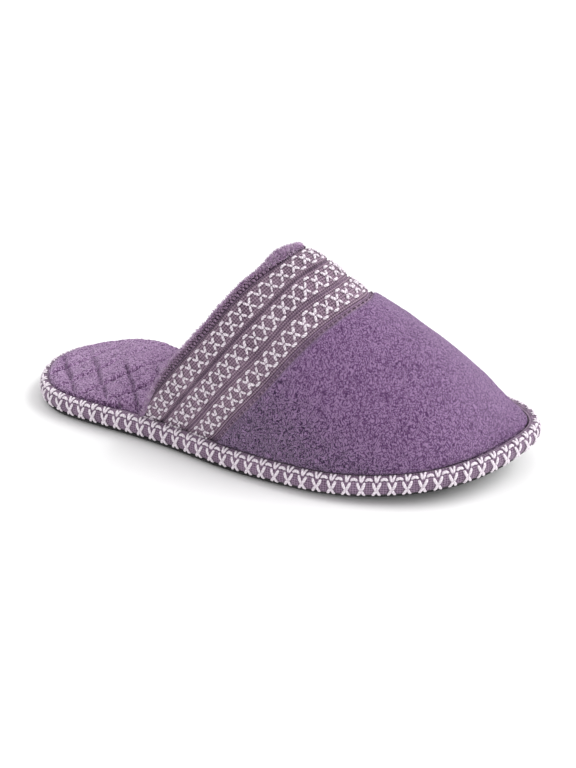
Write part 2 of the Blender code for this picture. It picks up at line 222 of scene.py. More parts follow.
def distanceTo(ring, along, across):  # from each place of a flat grid to the nearest point of the ring
    tree = kdtree.KDTree(len(ring))
    for number, place in enumerate(ring):
        tree.insert((*place, 0.0), number)
    tree.balance()
    found = [tree.find((x, y, 0.0))[2] for x, y in zip(along.ravel(), across.ravel())]
    return np.array(found).reshape(along.shape)


def addMesh(name, points, faces, material, replaces=(), slot=None, uv=None):
    mesh = bpy.data.meshes.new(name)
    mesh.from_pydata(np.asarray(points) - centre, [], faces)
    mesh.validate()
    if uv is not None:
        layer = mesh.uv_layers.new(name="cloth")
        corners = np.empty(len(mesh.loops), np.int32)
        mesh.loops.foreach_get("vertex_index", corners)
        layer.data.foreach_set("uv", np.asarray(uv, np.float32)[corners].ravel())
    mesh.shade_smooth()
    made = bpy.data.objects.new(name, mesh)
    mesh.materials.append(material)
    bpy.context.scene.collection.objects.link(made)
    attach(made, "root")
    if replaces:
        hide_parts(*replaces)
    print(name, len(mesh.vertices), "points,", sum(len(p.vertices) - 2 for p in mesh.polygons), "triangles")
    return made


def addValues(made, name, values):  # one number for each point, which the material reads
    layer = made.data.attributes.new(name, "FLOAT", "POINT")
    layer.data.foreach_set("value", np.asarray(values, np.float32).ravel())


def gridQuads(rows, columns, start=0, flipped=False):
    corner = start + np.arange(rows - 1)[:, None] * columns + np.arange(columns - 1)[None, :]
    quads = np.stack([corner, corner + 1, corner + columns + 1, corner + columns], axis=-1).reshape(-1, 4)
    return (quads[:, ::-1] if flipped else quads).tolist()


def borderOf(rows, columns):  # the numbers of a grid's border points, in order round it
    first = list(range(columns - 1))
    right = [row * columns + columns - 1 for row in range(rows - 1)]
    last = [(rows - 1) * columns + column for column in range(columns - 1, 0, -1)]
    left = [row * columns for row in range(rows - 1, 0, -1)]
    return first + right + last + left


def closedShell(top, under):  # the top's border is joined to a coarser grid under it
    rows, columns = top.shape[:2]
    lowRows, lowColumns = under.shape[:2]
    count = rows * columns
    points = np.concatenate([top.reshape(-1, 3), under.reshape(-1, 3)])
    faces = gridQuads(rows, columns) + gridQuads(lowRows, lowColumns, count, flipped=True)
    fine = borderOf(rows, columns)
    coarse = [index + count for index in borderOf(lowRows, lowColumns)]
    for number, corner in enumerate(coarse):
        start = number * underStep
        edge = [fine[(start + offset) % len(fine)] for offset in range(underStep + 1)]
        faces.append([*reversed(edge), corner, coarse[(number + 1) % len(coarse)]])
    return points, faces


def withUnder(values, under, plain=0.0):  # the top's values, then a plain one for each point under it
    return np.concatenate([values.ravel(), np.full(under.shape[0] * under.shape[1], plain)])


def connect(tree, socket, value):  # a link from another socket, or a plain value
    if isinstance(value, bpy.types.NodeSocket):
        tree.links.new(value, socket)
    else:
        socket.default_value = value


def addNode(tree, kind, inputs=None, **settings):
    made = tree.nodes.new(kind)
    for name, value in settings.items():
        setattr(made, name, value)
    for name, value in (inputs or {}).items():
        connect(tree, made.inputs[name], value)
    return made


def addMath(tree, operation, first, second=0.0, clamp=False):
    made = addNode(tree, "ShaderNodeMath", {0: first, 1: second}, operation=operation, use_clamp=clamp)
    return made.outputs[0]


def addScaled(tree, value, factor):
    return addMath(tree, "MULTIPLY", value, factor)


def addSwing(tree, value, factor):  # a mask from 0 to 1 as a swing to both sides of 0
    return addScaled(tree, addMath(tree, "SUBTRACT", value, 0.5), factor)


def addWave(tree, angle, low, high):  # a cosine stretched from low and high to 0 and 1
    return addRange(tree, addMath(tree, "COSINE", angle), low, high)


def addRange(tree, value, low, high, toLow=0.0, toHigh=1.0):
    inputs = {"Value": value, "From Min": low, "From Max": high, "To Min": toLow, "To Max": toHigh}
    return addNode(tree, "ShaderNodeMapRange", inputs).outputs[0]


def addMix(tree, factor, first, second):
    made = addNode(tree, "ShaderNodeMix", data_type="RGBA", blend_type="MIX")
    connect(tree, made.inputs[0], factor)
    connect(tree, made.inputs[6], first)
    connect(tree, made.inputs[7], second)
    return made.outputs[2]


def addNoise(tree, vector, scale, detail, **inputs):
    return addNode(tree, "ShaderNodeTexNoise", {"Vector": vector, "Scale": scale, "Detail": detail, **inputs})


def startGroup(name, inputs, outputs):
    group = bpy.data.node_groups.new(name, "ShaderNodeTree")
    for label, kind, value in inputs:
        socket = group.interface.new_socket(name=label, in_out="INPUT", socket_type="NodeSocket" + kind)
        if kind != "Vector":
            socket.default_value = value
    for label, kind in outputs:
        group.interface.new_socket(name=label, in_out="OUTPUT", socket_type="NodeSocket" + kind)
    return group, group.nodes.new("NodeGroupInput").outputs, group.nodes.new("NodeGroupOutput").inputs


def useGroup(tree, group, inputs):
    made = tree.nodes.new("ShaderNodeGroup")
    made.node_tree = group
    for name, value in inputs.items():
        connect(tree, made.inputs[name], value)
    return made.outputs


def startMaterial(name, **plain):
    material = bpy.data.materials.new(name)
    material.use_nodes = True
    tree = material.node_tree
    shader = tree.nodes["Principled BSDF"]
    for label, value in plain.items():
        shader.inputs[label.replace("_", " ")].default_value = value
    return material, tree, shader


def addBump(tree, shader, height, distance):
    bump = addNode(tree, "ShaderNodeBump", {"Height": height, "Distance": distance, "Strength": 1.0})
    tree.links.new(bump.outputs["Normal"], shader.inputs["Normal"])


lintPattern = {"grainDetail": 3.0, "grainRoughness": 0.6, "patchDetail": 2.0, "patchRoughness": 0.5}


def makeLintGroup():  # loose fibre fuzz: a fine grain and slow patches
    group, inp, out = startGroup("lint", [
        ("Vector", "Vector", None), ("Grain Size", "Float", 0.0004), ("Patch Size", "Float", 0.03),
    ], [("Grain", "Float"), ("Patches", "Float")])
    grainScale = addMath(group, "DIVIDE", 1.0, inp["Grain Size"])
    patchScale = addMath(group, "DIVIDE", 1.0, inp["Patch Size"])
    grain = addNoise(group, inp["Vector"], grainScale, lintPattern["grainDetail"],
                     Roughness=lintPattern["grainRoughness"])
    patches = addNoise(group, inp["Vector"], patchScale, lintPattern["patchDetail"],
                       Roughness=lintPattern["patchRoughness"])
    connect(group, out["Grain"], grain.outputs["Fac"])
    connect(group, out["Patches"], patches.outputs["Fac"])
    return group


terryPattern = {
    "bendScale": 0.16,  # the streaks' wandering, beside the loops' own scale
    "bend": 4.5,  # and how far they wander, in loops
    "drawnOut": (1.0, 1.0, 0.6),
    "streakWidth": 0.19,
    "loopScale": 0.8,
    "loopRange": (0.30, 0.70),
    "loopWeight": 0.8,
    "streakWeight": 1.9,
    "middleTone": 1.22,
    "pileWeight": 0.20,
    "baseTone": 0.43,
    "grainSize": 0.00035,
    "grainWeight": 0.3,
    "patchSize": 0.022,
    "patchWeight": 0.25,
    "gapToBase": (0.05, 0.50),
    "baseToTip": (0.50, 0.95),
    "reliefWeight": 0.5,
    "grainRelief": 0.6,
}


def makeTerryGroup(lint):  # looped pile: short wandering streaks of loops, coloured to follow their relief, with painted shade in the dark gaps between them and painted light on their crowns
    group, inp, out = startGroup("terryPile", [
        ("Vector", "Vector", None), ("Pile", "Float", 0.5), ("Crumble", "Float", 1.0),
        ("Loop Size", "Float", 0.001), ("Gap Shade", "Color", (0.05, 0.02, 0.06, 1.0)),
        ("Base Colour", "Color", (0.2, 0.1, 0.3, 1.0)), ("Tip Light", "Color", (0.4, 0.25, 0.45, 1.0)),
    ], [("Colour", "Color"), ("Height", "Float")])
    scale = addMath(group, "DIVIDE", 1.0, inp["Loop Size"])
    bend = addNoise(group, inp["Vector"], addScaled(group, scale, terryPattern["bendScale"]), 1.0)
    centred = addNode(group, "ShaderNodeVectorMath", {0: bend.outputs["Color"], 1: (0.5, 0.5, 0.5)},
                      operation="SUBTRACT")
    shift = addNode(group, "ShaderNodeVectorMath", {0: centred.outputs[0]}, operation="SCALE")
    connect(group, shift.inputs["Scale"], addScaled(group, inp["Loop Size"], terryPattern["bend"]))
    bent = addNode(group, "ShaderNodeVectorMath", {0: inp["Vector"], 1: shift.outputs[0]}, operation="ADD")
    drawn = addNode(group, "ShaderNodeVectorMath", {0: bent.outputs[0], 1: terryPattern["drawnOut"]},
                    operation="MULTIPLY")
    flow = addNoise(group, drawn.outputs[0], scale, 0.0)
    fromMiddle = addMath(group, "ABSOLUTE", addMath(group, "SUBTRACT", flow.outputs["Fac"], 0.5))
    streak = addRange(group, fromMiddle, 0.0, terryPattern["streakWidth"])
    loops = addNoise(group, bent.outputs[0], addScaled(group, scale, terryPattern["loopScale"]), 1.0, Roughness=0.6)
    crown = addRange(group, loops.outputs["Fac"], *terryPattern["loopRange"])
    fuzz = useGroup(group, lint, {"Vector": inp["Vector"], "Grain Size": terryPattern["grainSize"],
                                  "Patch Size": terryPattern["patchSize"]})
    tone = addMath(group, "ADD", addScaled(group, crown, terryPattern["loopWeight"]),
                   addScaled(group, streak, terryPattern["streakWeight"]))
    tone = addScaled(group, addMath(group, "SUBTRACT", tone, terryPattern["middleTone"]), inp["Crumble"])
    tone = addMath(group, "ADD", tone, terryPattern["baseTone"])
    tone = addMath(group, "ADD", addScaled(group, inp["Pile"], terryPattern["pileWeight"]), tone)
    tone = addMath(group, "ADD", tone, addSwing(group, fuzz["Grain"], terryPattern["grainWeight"]))
    tone = addMath(group, "ADD", tone, addSwing(group, fuzz["Patches"], terryPattern["patchWeight"]))
    # painted shade and light: the tone, which rises with the loops' relief, runs from the gap colour to the tip
    # colour
    toBase = addRange(group, tone, *terryPattern["gapToBase"])
    toTip = addRange(group, tone, *terryPattern["baseToTip"])
    dark = addMix(group, toBase, inp["Gap Shade"], inp["Base Colour"])
    connect(group, out["Colour"], addMix(group, toTip, dark, inp["Tip Light"]))
    relief = addScaled(group, inp["Crumble"], terryPattern["reliefWeight"])
    height = addScaled(group, addMath(group, "ADD", streak, crown), relief)
    grainRelief = addScaled(group, fuzz["Grain"], terryPattern["grainRelief"])
    connect(group, out["Height"], addMath(group, "ADD", height, grainRelief))
    return group


ribPattern = {
    "grainSize": 0.0005,
    "patchSize": 0.012,
    "wobble": 5.0,  # how far the grain bends the ribs, as an angle
    "ribWeight": 0.55,
    "pickWeight": 0.45,
    "patchWeight": 0.7,
    "shadedWeight": 0.8,
    "shadeToGround": (-0.05, 0.85),
    "bump": 0.0004,
}


def makeRibGroup(lint):  # ribbed tape cloth: ribs run along it, and fine picks cross them
    group, inp, out = startGroup("tapeCloth", [
        ("Vector", "Vector", None), ("Cloth Map", "Vector", None), ("Rib", "Float", 0.0007),
        ("Pick", "Float", 0.00055), ("Shaded", "Float", 0.0),
        ("Ground", "Color", (0.3, 0.2, 0.3, 1.0)), ("Shade", "Color", (0.08, 0.04, 0.08, 1.0)),
    ], [("Colour", "Color"), ("Height", "Float")])
    alongTape, acrossTape = addNode(group, "ShaderNodeSeparateXYZ", {0: inp["Cloth Map"]}).outputs[:2]
    fuzz = useGroup(group, lint, {"Vector": inp["Vector"], "Grain Size": ribPattern["grainSize"],
                                  "Patch Size": ribPattern["patchSize"]})
    wobble = addSwing(group, fuzz["Grain"], ribPattern["wobble"])
    height = None
    for place, spacing, weight in ((acrossTape, inp["Rib"], "ribWeight"), (alongTape, inp["Pick"], "pickWeight")):
        angle = addScaled(group, addMath(group, "DIVIDE", place, spacing), 2.0 * math.pi)
        wave = addWave(group, addMath(group, "ADD", angle, wobble), -1.0, 1.0)
        weighed = addScaled(group, wave, ribPattern[weight])
        height = weighed if height is None else addMath(group, "ADD", height, weighed)
    tone = addMath(group, "ADD", height, addSwing(group, fuzz["Patches"], ribPattern["patchWeight"]))
    tone = addMath(group, "SUBTRACT", tone, addScaled(group, inp["Shaded"], ribPattern["shadedWeight"]))
    toGround = addRange(group, tone, *ribPattern["shadeToGround"])
    connect(group, out["Colour"], addMix(group, toGround, inp["Shade"], inp["Ground"]))
    connect(group, out["Height"], height)
    return group


yarnPattern = {
    "twist": 0.0016,  # the plies turn once in this length
    "plyRange": (-1.0, 0.6),
    "grainSize": 0.0003,
    "patchSize": 0.01,
    "bump": 0.00012,
}


def makeYarnGroup(lint):  # two-ply yarn: slanting plies from the map along and around the yarn
    group, inp, out = startGroup("yarnPlies", [
        ("Vector", "Vector", None), ("Yarn Map", "Vector", None), ("Tone", "Float", 1.0),
        ("Light", "Color", (0.8, 0.75, 0.8, 1.0)), ("Shade", "Color", (0.4, 0.3, 0.4, 1.0)),
    ], [("Colour", "Color"), ("Height", "Float")])
    alongYarn, aroundYarn = addNode(group, "ShaderNodeSeparateXYZ", {0: inp["Yarn Map"]}).outputs[:2]
    around = addScaled(group, aroundYarn, 4.0 * math.pi)
    along = addScaled(group, alongYarn, 2.0 * math.pi / yarnPattern["twist"])
    ply = addWave(group, addMath(group, "ADD", around, along), *yarnPattern["plyRange"])
    fuzz = useGroup(group, lint, {"Vector": inp["Vector"], "Grain Size": yarnPattern["grainSize"],
                                  "Patch Size": yarnPattern["patchSize"]})
    tone = addMath(group, "ADD", ply, addMath(group, "SUBTRACT", fuzz["Grain"], 0.5), clamp=True)
    connect(group, out["Colour"], addMix(group, addScaled(group, tone, inp["Tone"]), inp["Shade"], inp["Light"]))
    connect(group, out["Height"], tone)
    return group


lintGroup = makeLintGroup()
terryGroup = makeTerryGroup(lintGroup)
ribGroup = makeRibGroup(lintGroup)
yarnGroup = makeYarnGroup(lintGroup)
print("node groups ready")


def objectMap(tree):
    return tree.nodes.new("ShaderNodeTexCoord").outputs["Object"]


def meshValue(tree, name):
    return addNode(tree, "ShaderNodeAttribute", attribute_name=name).outputs["Fac"]


def clothMap(tree):
    return addNode(tree, "ShaderNodeUVMap", uv_map="cloth").outputs["UV"]


def makeTerryMaterial(name, look):
    material, tree, shader = startMaterial(name, Roughness=0.95, Specular_IOR_Level=0.15,
                                           Sheen_Weight=look["sheen"], Sheen_Roughness=0.45,
                                           Sheen_Tint=look["sheenTint"])
    # the gap colour is painted shade between the loops, and the tip colour is painted light on their crowns
    pile = useGroup(tree, terryGroup, {
        "Vector": objectMap(tree), "Pile": meshValue(tree, "pile"), "Crumble": meshValue(tree, "crumble"),
        "Loop Size": look["loopSize"], "Gap Shade": look["gap"], "Base Colour": look["base"],
        "Tip Light": look["tip"],
    })
    connect(tree, shader.inputs["Base Color"], pile["Colour"])
    addBump(tree, shader, pile["Height"], look["bump"])
    return material


def makeRibMaterial(name, look):
    material, tree, shader = startMaterial(name, Roughness=0.85, Specular_IOR_Level=0.25, Sheen_Weight=0.15)
    cloth = useGroup(tree, ribGroup, {
        "Vector": objectMap(tree), "Cloth Map": clothMap(tree), "Shaded": meshValue(tree, "shaded"),
        "Rib": look["rib"], "Pick": look["pick"], "Ground": look["ground"], "Shade": look["shade"],
    })
    connect(tree, shader.inputs["Base Color"], cloth["Colour"])
    addBump(tree, shader, cloth["Height"], ribPattern["bump"])
    return material


def makeYarnMaterial(name, look):
    material, tree, shader = startMaterial(name, Roughness=0.7, Specular_IOR_Level=0.3, Sheen_Weight=0.2)
    yarn = useGroup(tree, yarnGroup, {
        "Vector": objectMap(tree), "Yarn Map": clothMap(tree), "Tone": meshValue(tree, "tone"),
        "Light": look["light"], "Shade": look["shade"],
    })
    connect(tree, shader.inputs["Base Color"], yarn["Colour"])
    addBump(tree, shader, yarn["Height"], yarnPattern["bump"])
    return material


# The band across the vamp follows lines that are set off from the collar along the surface.
collarRows = (  # turn over the vamp, and the collar's share of the length
    (0.0, 0.236), (0.07, 0.301), (0.138, 0.359), (0.225, 0.422), (0.32, 0.468),
    (0.40, 0.504), (0.45, 0.522), (0.5, 0.534), (0.55, 0.537), (0.60, 0.530),
    (0.68, 0.499), (0.775, 0.445), (0.862, 0.372), (0.93, 0.308), (1.0, 0.238),
)
band = {
    "marchColumns": 64,
    "fairness": 11,
    "footTrim": 0.0062,  # at its feet the collar's edge cuts across the band by this much
    "edgeTrim": 0.0002,
    "ridgeTrim": 0.0014,
    "footTrimTurn": 0.12,
    "ridgeTurn": 0.47,  # where the fleece shows most behind the border
    "ridgeWidth": 0.09,
    "collarBorder": 0.0037,
    "tapeWidth": 0.0121,
    "groove": 0.0004,
    "frontBorder": 0.0029,
    "columns": 320,
    "lineStep": 0.0002,
    "back": 0.0046,  # how far behind the collar line the table of lines starts
    "front": 0.052,
    "labelAcross": 0.002,
}


def fairLine(line, turns):  # evens out small kinks, so that the lines stay fair
    chebyshev, places = np.polynomial.chebyshev, 2.0 * turns - 1.0
    return chebyshev.chebval(places, chebyshev.chebfit(places, line, band["fairness"]))


def labelledFrom(table, centreAcross):  # gives places along a tape, measured on its middle line from the ridge
    points, places = table["points"], table["across"]
    tangents = np.gradient(points, axis=1)
    steps = np.linalg.norm(tangents, axis=2)
    tangents /= np.maximum(steps, 1e-9)[..., None]
    middle = int(np.abs(places - centreAcross).argmin())
    label = np.zeros(points.shape[:2])
    run = np.concatenate([[0.0], np.cumsum(np.linalg.norm(np.diff(points[middle], axis=0), axis=1))])
    label[middle] = run - np.interp(0.5, table["turns"], run)
    for direction in (1, -1):
        row = middle
        while 0 <= row + direction < len(places):
            moved = points[row + direction] - points[row]
            gain = np.gradient(label[row]) / np.maximum(steps[row], 1e-9)
            label[row + direction] = label[row] + (moved * tangents[row]).sum(axis=1) * gain
            row += direction
    return {**table, "label": label}


def makeBandTable():
    turns = np.linspace(0.0, 1.0, band["columns"] + 1)
    coarse = np.linspace(0.0, 1.0, band["marchColumns"] + 1)
    start = shoe["length"] * smoothTable(collarRows, coarse)
    stepsBack = round(band["back"] / band["lineStep"])
    stepsOn = round(band["front"] / band["lineStep"])
    start = fairLine(start, coarse)
    behind, ahead = [start], [start]
    for lines, count, distance in ((behind, stepsBack, -band["lineStep"]), (ahead, stepsOn, band["lineStep"])):
        for _ in range(count):
            lines.append(fairLine(movedLine(lines[-1], coarse, distance), coarse))
    marched = behind[:0:-1] + ahead
    lines = np.array([smoothTable(list(zip(coarse, line)), turns) for line in marched])
    places = (np.arange(len(lines)) - stepsBack) * band["lineStep"]
    points = vamp(lines, turns[None, :])
    normals = gridNormals(points, (0.0, 0.0, 1.0))
    table = {"across": places, "points": points, "normals": normals, "turns": turns, "lines": lines}
    return labelledFrom(table, band["labelAcross"])


bandTable = makeBandTable()
print("band lines laid out:", bandTable["points"].shape)


def tableRows(table, across):  # a table's rows at these places across, each one number or one for each column
    across = np.asarray(across, float)
    if across.ndim < 2:
        across = np.broadcast_to(np.atleast_1d(across)[:, None], (across.size, table["label"].shape[1]))
    first, step = table["across"][0], table["across"][1] - table["across"][0]
    place = np.clip((across - first) / step, 0.0, len(table["across"]) - 1.001)  # short of the last row
    low = place.astype(int)
    share = place - low
    column = np.broadcast_to(np.arange(across.shape[1]), across.shape)
    found = {}
    for key in ("points", "normals", "label", "lines"):
        values = table[key]
        weight = share[..., None] if values.ndim == 3 else share
        found[key] = values[low, column] * (1.0 - weight) + values[low + 1, column] * weight
    return found


def footTrim(turns):  # how far the collar's edge cuts into the band near its feet
    fromFoot = np.minimum(turns, 1.0 - turns)
    onRidge = hump(turns, band["ridgeTurn"], band["ridgeWidth"])
    foot = band["footTrim"] * np.clip(1.0 - fromFoot / band["footTrimTurn"], 0.0, 1.0) ** 2
    return band["edgeTrim"] + band["ridgeTrim"] * onRidge + foot


def onTable(table, along, across):  # points and normals at places along and across a tape
    along, across = np.broadcast_arrays(along, across)
    flatAlong, flatAcross = along.ravel(), across.ravel()
    upper = np.clip(np.searchsorted(table["across"], flatAcross), 1, len(table["across"]) - 1)
    low = table["across"][upper - 1]
    share = np.clip((flatAcross - low) / (table["across"][upper] - low), 0.0, 1.0)[:, None]
    points, normals = np.zeros((2, len(flatAlong), 3))
    for offset, weight in ((-1, 1.0 - share), (0, share)):
        rows = upper + offset
        for row in np.unique(rows):
            here = rows == row
            label = table["label"][row]
            for found, key in ((points, "points"), (normals, "normals")):
                for axis in range(3):
                    read = np.interp(flatAlong[here], label, table[key][row, :, axis])
                    found[here, axis] += weight[here, 0] * read
    normals /= np.linalg.norm(normals, axis=1)[:, None]
    return points.reshape(along.shape + (3,)), normals.reshape(along.shape + (3,))


stripShape = {  # what all the strips of ribbed cloth share
    "rowsPerRib": 4,
    "leastWidth": 0.0003,
    "edgeRound": 0.0007,
    "edgeDrop": 0.8,  # how far the edges go down, as a share of the thickness
    "unevenness": 0.00014,
    "unevenSize": 0.0035,
    "selvedge": 0.0012,  # the sewn line's distance in from each edge
    "selvedgeWidth": 0.00045,
    "selvedgeTone": 0.3,
    "selvedgeDip": 0.00025,
    "selvedgeShade": 0.5,
    "edgeShade": 0.7,
}


# A strip of ribbed cloth between two lines, with its edges rounded down to its underside.
def makeStrip(name, table, start, end, look, material, replaces=()):
    rowsPerRib, top, under = stripShape["rowsPerRib"], look["top"], look["under"]
    count = max(rowsPerRib, look["ribs"] * rowsPerRib)
    start = np.maximum(start, footTrim(table["turns"]))
    share = np.linspace(0.0, 1.0, count + 1)[:, None]
    width = np.maximum(end - start, stripShape["leastWidth"])
    across = start + width * share
    rows = tableRows(table, across)
    toEdge = np.minimum(share, 1.0 - share) * width
    edge = roundedEdge(toEdge, stripShape["edgeRound"])
    ribWave = 0.5 + 0.5 * np.cos(2.0 * np.pi * share * look["ribs"] + np.pi)
    sewn = stripShape["selvedgeTone"] * hump(toEdge, stripShape["selvedge"], stripShape["selvedgeWidth"])
    depth = top + (under - top) * stripShape["edgeDrop"] * (1.0 - edge) + look["ribHeight"] * (1.0 - ribWave)
    depth = depth + stripShape["unevenness"] * noiseAt(rows["points"], stripShape["unevenSize"], seed=5.0)
    depth = depth + stripShape["selvedgeDip"] * sewn
    topGrid = rows["points"] - rows["normals"] * depth[..., None]
    low = rows["points"][::underStep, ::underStep] - rows["normals"][::underStep, ::underStep] * under
    points, faces = closedShell(topGrid, low)
    uvTop = np.stack([rows["label"], across], axis=-1)
    uv = np.concatenate([uvTop.reshape(-1, 2), uvTop[::underStep, ::underStep].reshape(-1, 2)])
    made = addMesh(name, points, faces, material, replaces, "woven_tape", uv)
    # painted shade: darker on the rounded edges that drop into the grooves between strips, along the sunk sewn lines,
    # and all over the underside
    shaded = np.clip(stripShape["selvedgeShade"] * sewn + stripShape["edgeShade"] * (1.0 - edge), 0.0, 1.0)
    addValues(made, "shaded", withUnder(shaded, low, 1.0))


tapeLook = {
    "rib": 0.00135,
    "pick": 0.0012,
    "ground": (0.390, 0.270, 0.360, 1.0),
    "shade": (0.058, 0.027, 0.056, 1.0),
    "top": 0.0012,  # depth under the terry's face
    "under": 0.0023,
    "ribs": 8,
    "ribHeight": 0.00012,
}
ribbedTape = makeRibMaterial("ribbedTape", tapeLook)

tapeNames = ("collarTape", "middleTape", "frontTape")
tapeNodes = ("collar_tape", "middle_tape", "front_tape")
tapeStarts = [band["collarBorder"] + band["groove"] + number * (band["tapeWidth"] + band["groove"])
              for number in range(3)]
tapeMiddles = [tapeStart + band["tapeWidth"] / 2.0 for tapeStart in tapeStarts]
tapeTables = [labelledFrom(bandTable, tapeMiddle) for tapeMiddle in tapeMiddles]
frontTable = tapeTables[2]
bandEnd = tapeStarts[2] + band["tapeWidth"] + band["groove"] + band["frontBorder"]
for tapeName, tapeNode, tapeStart, tapeTable in zip(tapeNames, tapeNodes, tapeStarts, tapeTables):
    tapeEnd = tapeStart + band["tapeWidth"]
    makeStrip(tapeName, tapeTable, tapeStart, tapeEnd, tapeLook, ribbedTape, (tapeNode,))

backingLook = {
    "rib": 0.0013,
    "pick": 0.0015,
    "ground": (0.330, 0.215, 0.330, 1.0),
    "shade": (0.110, 0.058, 0.115, 1.0),
    "start": -0.0005,  # from the collar's line
    "pastBand": 0.004,  # how far it goes on under the terry
    "top": 0.0021,
    "under": 0.0030,
    "ribs": 9,
    "ribHeight": 0.0,
}
collarBorderLook = {
    "rib": 0.0013,
    "pick": 0.0015,
    "ground": (0.16, 0.085, 0.16, 1.0),
    "shade": (0.05, 0.022, 0.052, 1.0),
    "start": -0.002,
    "top": 0.0012,
    "under": 0.0025,
    "ribs": 3,
    "ribHeight": 0.0002,
}
frontBorderLook = {
    "rib": 0.0031,
    "pick": 0.0015,
    "ground": (0.400, 0.272, 0.385, 1.0),
    "shade": (0.110, 0.058, 0.115, 1.0),
    "top": 0.0016,
    "under": 0.0026,
    "ribs": 1,
    "ribHeight": 0.0,
}
borderCloth = makeRibMaterial("borderCloth", backingLook)
darkCloth = makeRibMaterial("darkCloth", collarBorderLook)
plainCloth = makeRibMaterial("plainCloth", frontBorderLook)
makeStrip("collarBorder", bandTable, collarBorderLook["start"], band["collarBorder"], collarBorderLook, darkCloth)
makeStrip("frontBorder", frontTable, bandEnd - band["frontBorder"], bandEnd, frontBorderLook, plainCloth)
makeStrip("tapeBacking", bandTable, backingLook["start"], bandEnd + backingLook["pastBand"], backingLook, borderCloth)

yarnLook = {
    "pitch": 0.0068,
    "light": (0.95, 0.88, 0.93, 1.0),
    "shade": (0.60, 0.50, 0.60, 1.0),
    "halfWidth": 0.00066,
    "height": 0.00048,
    "rings": 9,
    "sides": 8,
    "plies": 0.13,  # how far the plies stand out, as a share of the yarn's own radius
    "shortest": 0.0009,
    "taper": 3.2,
    "arch": 0.6,
    "sunk": 0.35,
    "mapShift": 0.00037,
    "tones": (0.78, 1.0),
    "fromTrim": 0.0003,  # how clear of the collar's cut edge a whole stroke stays
    "lift": 0.00012,
    "pastEnds": 0.004,
}
offWhiteYarn = makeYarnMaterial("offWhiteYarn", yarnLook)


# Each stroke is three points of (along, across, half width), and becomes one plump, twisted, tapered float.
def makeYarn(name, table, strokes, lift, material, slot, plies=yarnLook["plies"]):
    rings, sides = yarnLook["rings"], yarnLook["sides"]
    share = np.linspace(0.0, 1.0, rings)
    control = np.array(strokes)
    first, middle, last = (control[:, number, None, :2] for number in range(3))
    t = share[None, :, None]
    paths = first * (1 - t) * (1 - 2 * t) + middle * 4 * t * (1 - t) + last * t * (2 * t - 1)
    points, normals = onTable(table, paths[..., 0], paths[..., 1])
    tangents = np.gradient(points, axis=1)
    lengths = np.linalg.norm(tangents, axis=2).sum(axis=1)
    keep = lengths > yarnLook["shortest"]
    points, normals, tangents, lengths = points[keep], normals[keep], tangents[keep], lengths[keep]
    width = control[keep][:, 0, 2]
    tangents /= np.maximum(np.linalg.norm(tangents, axis=2), 1e-9)[..., None]
    aside = np.cross(tangents, normals)
    aside /= np.maximum(np.linalg.norm(aside, axis=2), 1e-9)[..., None]
    taper = np.clip(1.0 - np.abs(2.0 * share - 1.0) ** yarnLook["taper"], 0.0, 1.0) ** 0.5
    rise = lift + yarnLook["height"] * (np.sin(np.pi * share) ** yarnLook["arch"] - yarnLook["sunk"])
    angle = np.linspace(0.0, 2.0 * np.pi, sides, endpoint=False)
    run = t * lengths[:, None, None]
    twist = 2.0 * np.pi * t * lengths[:, None, None] / yarnPattern["twist"]
    radius = (1.0 + plies * np.cos(2.0 * angle[None, None, :] + twist)) * taper[None, :, None]
    centreLine = points + normals * rise[None, :, None]
    ring = (
        centreLine[:, :, None, :]
        + aside[:, :, None, :] * (radius * np.cos(angle) * width[:, None, None])[..., None]
        + normals[:, :, None, :] * (radius * np.sin(angle) * yarnLook["height"])[..., None]
    )
    count = len(ring)
    inner = ring[:, 1:-1].reshape(count, -1, 3)
    allPoints = np.concatenate([inner, centreLine[:, :1], centreLine[:, -1:]], axis=1)
    each = allPoints.shape[1]
    lastRow = (rings - 3) * sides
    walls, caps = [], []
    for base in range(0, lastRow, sides):
        for side in range(sides):
            after = (side + 1) % sides
            walls.append([base + side, base + after, base + sides + after, base + sides + side])
    for side in range(sides):
        after = (side + 1) % sides
        caps.append([each - 2, after, side])
        caps.append([each - 1, lastRow + side, lastRow + after])
    walls, caps = np.array(walls), np.array(caps)
    faces = []
    for shift in range(0, count * each, each):
        faces += (walls + shift).tolist() + (caps + shift).tolist()
    alongMap = run + np.arange(count)[:, None, None] * yarnLook["mapShift"]
    mapInner = np.stack(np.broadcast_arrays(alongMap[:, 1:-1], angle[None, None, :] / (2.0 * np.pi)), axis=-1)
    mapEnds = np.stack([alongMap[:, [0, -1], 0], np.zeros((count, 2))], axis=-1)
    uv = np.concatenate([mapInner.reshape(count, -1, 2), mapEnds], axis=1).reshape(-1, 2)
    made = addMesh(name, allPoints.reshape(-1, 3), faces, material, (), slot, uv)
    tones = np.random.default_rng(len(name)).uniform(*yarnLook["tones"], count)
    addValues(made, "tone", np.repeat(tones, each))


def clearOfTrim(table, row, stroke, across):  # whether a stroke lies clear of the collar's cut edge
    return across > np.interp(stroke[1][0], row, footTrim(table["turns"])) + yarnLook["fromTrim"]


tapePattern = {
    "arm": ((0.00020, 0.00015), (0.00095, 0.0014), (0.00190, 0.0029)),  # a cross's arm, out from the middle
    "dashHalf": 0.0018,
    "dashAcross": (0.0035, 0.0039),  # at its ends and its middle
    "dashFullness": 1.05,
    "placeUneven": 0.00012,
    "armUneven": 0.00014,
    "dashUneven": 0.0001,
    "plumpUneven": 900,  # turns a shift in metres into a share of the thickness
}


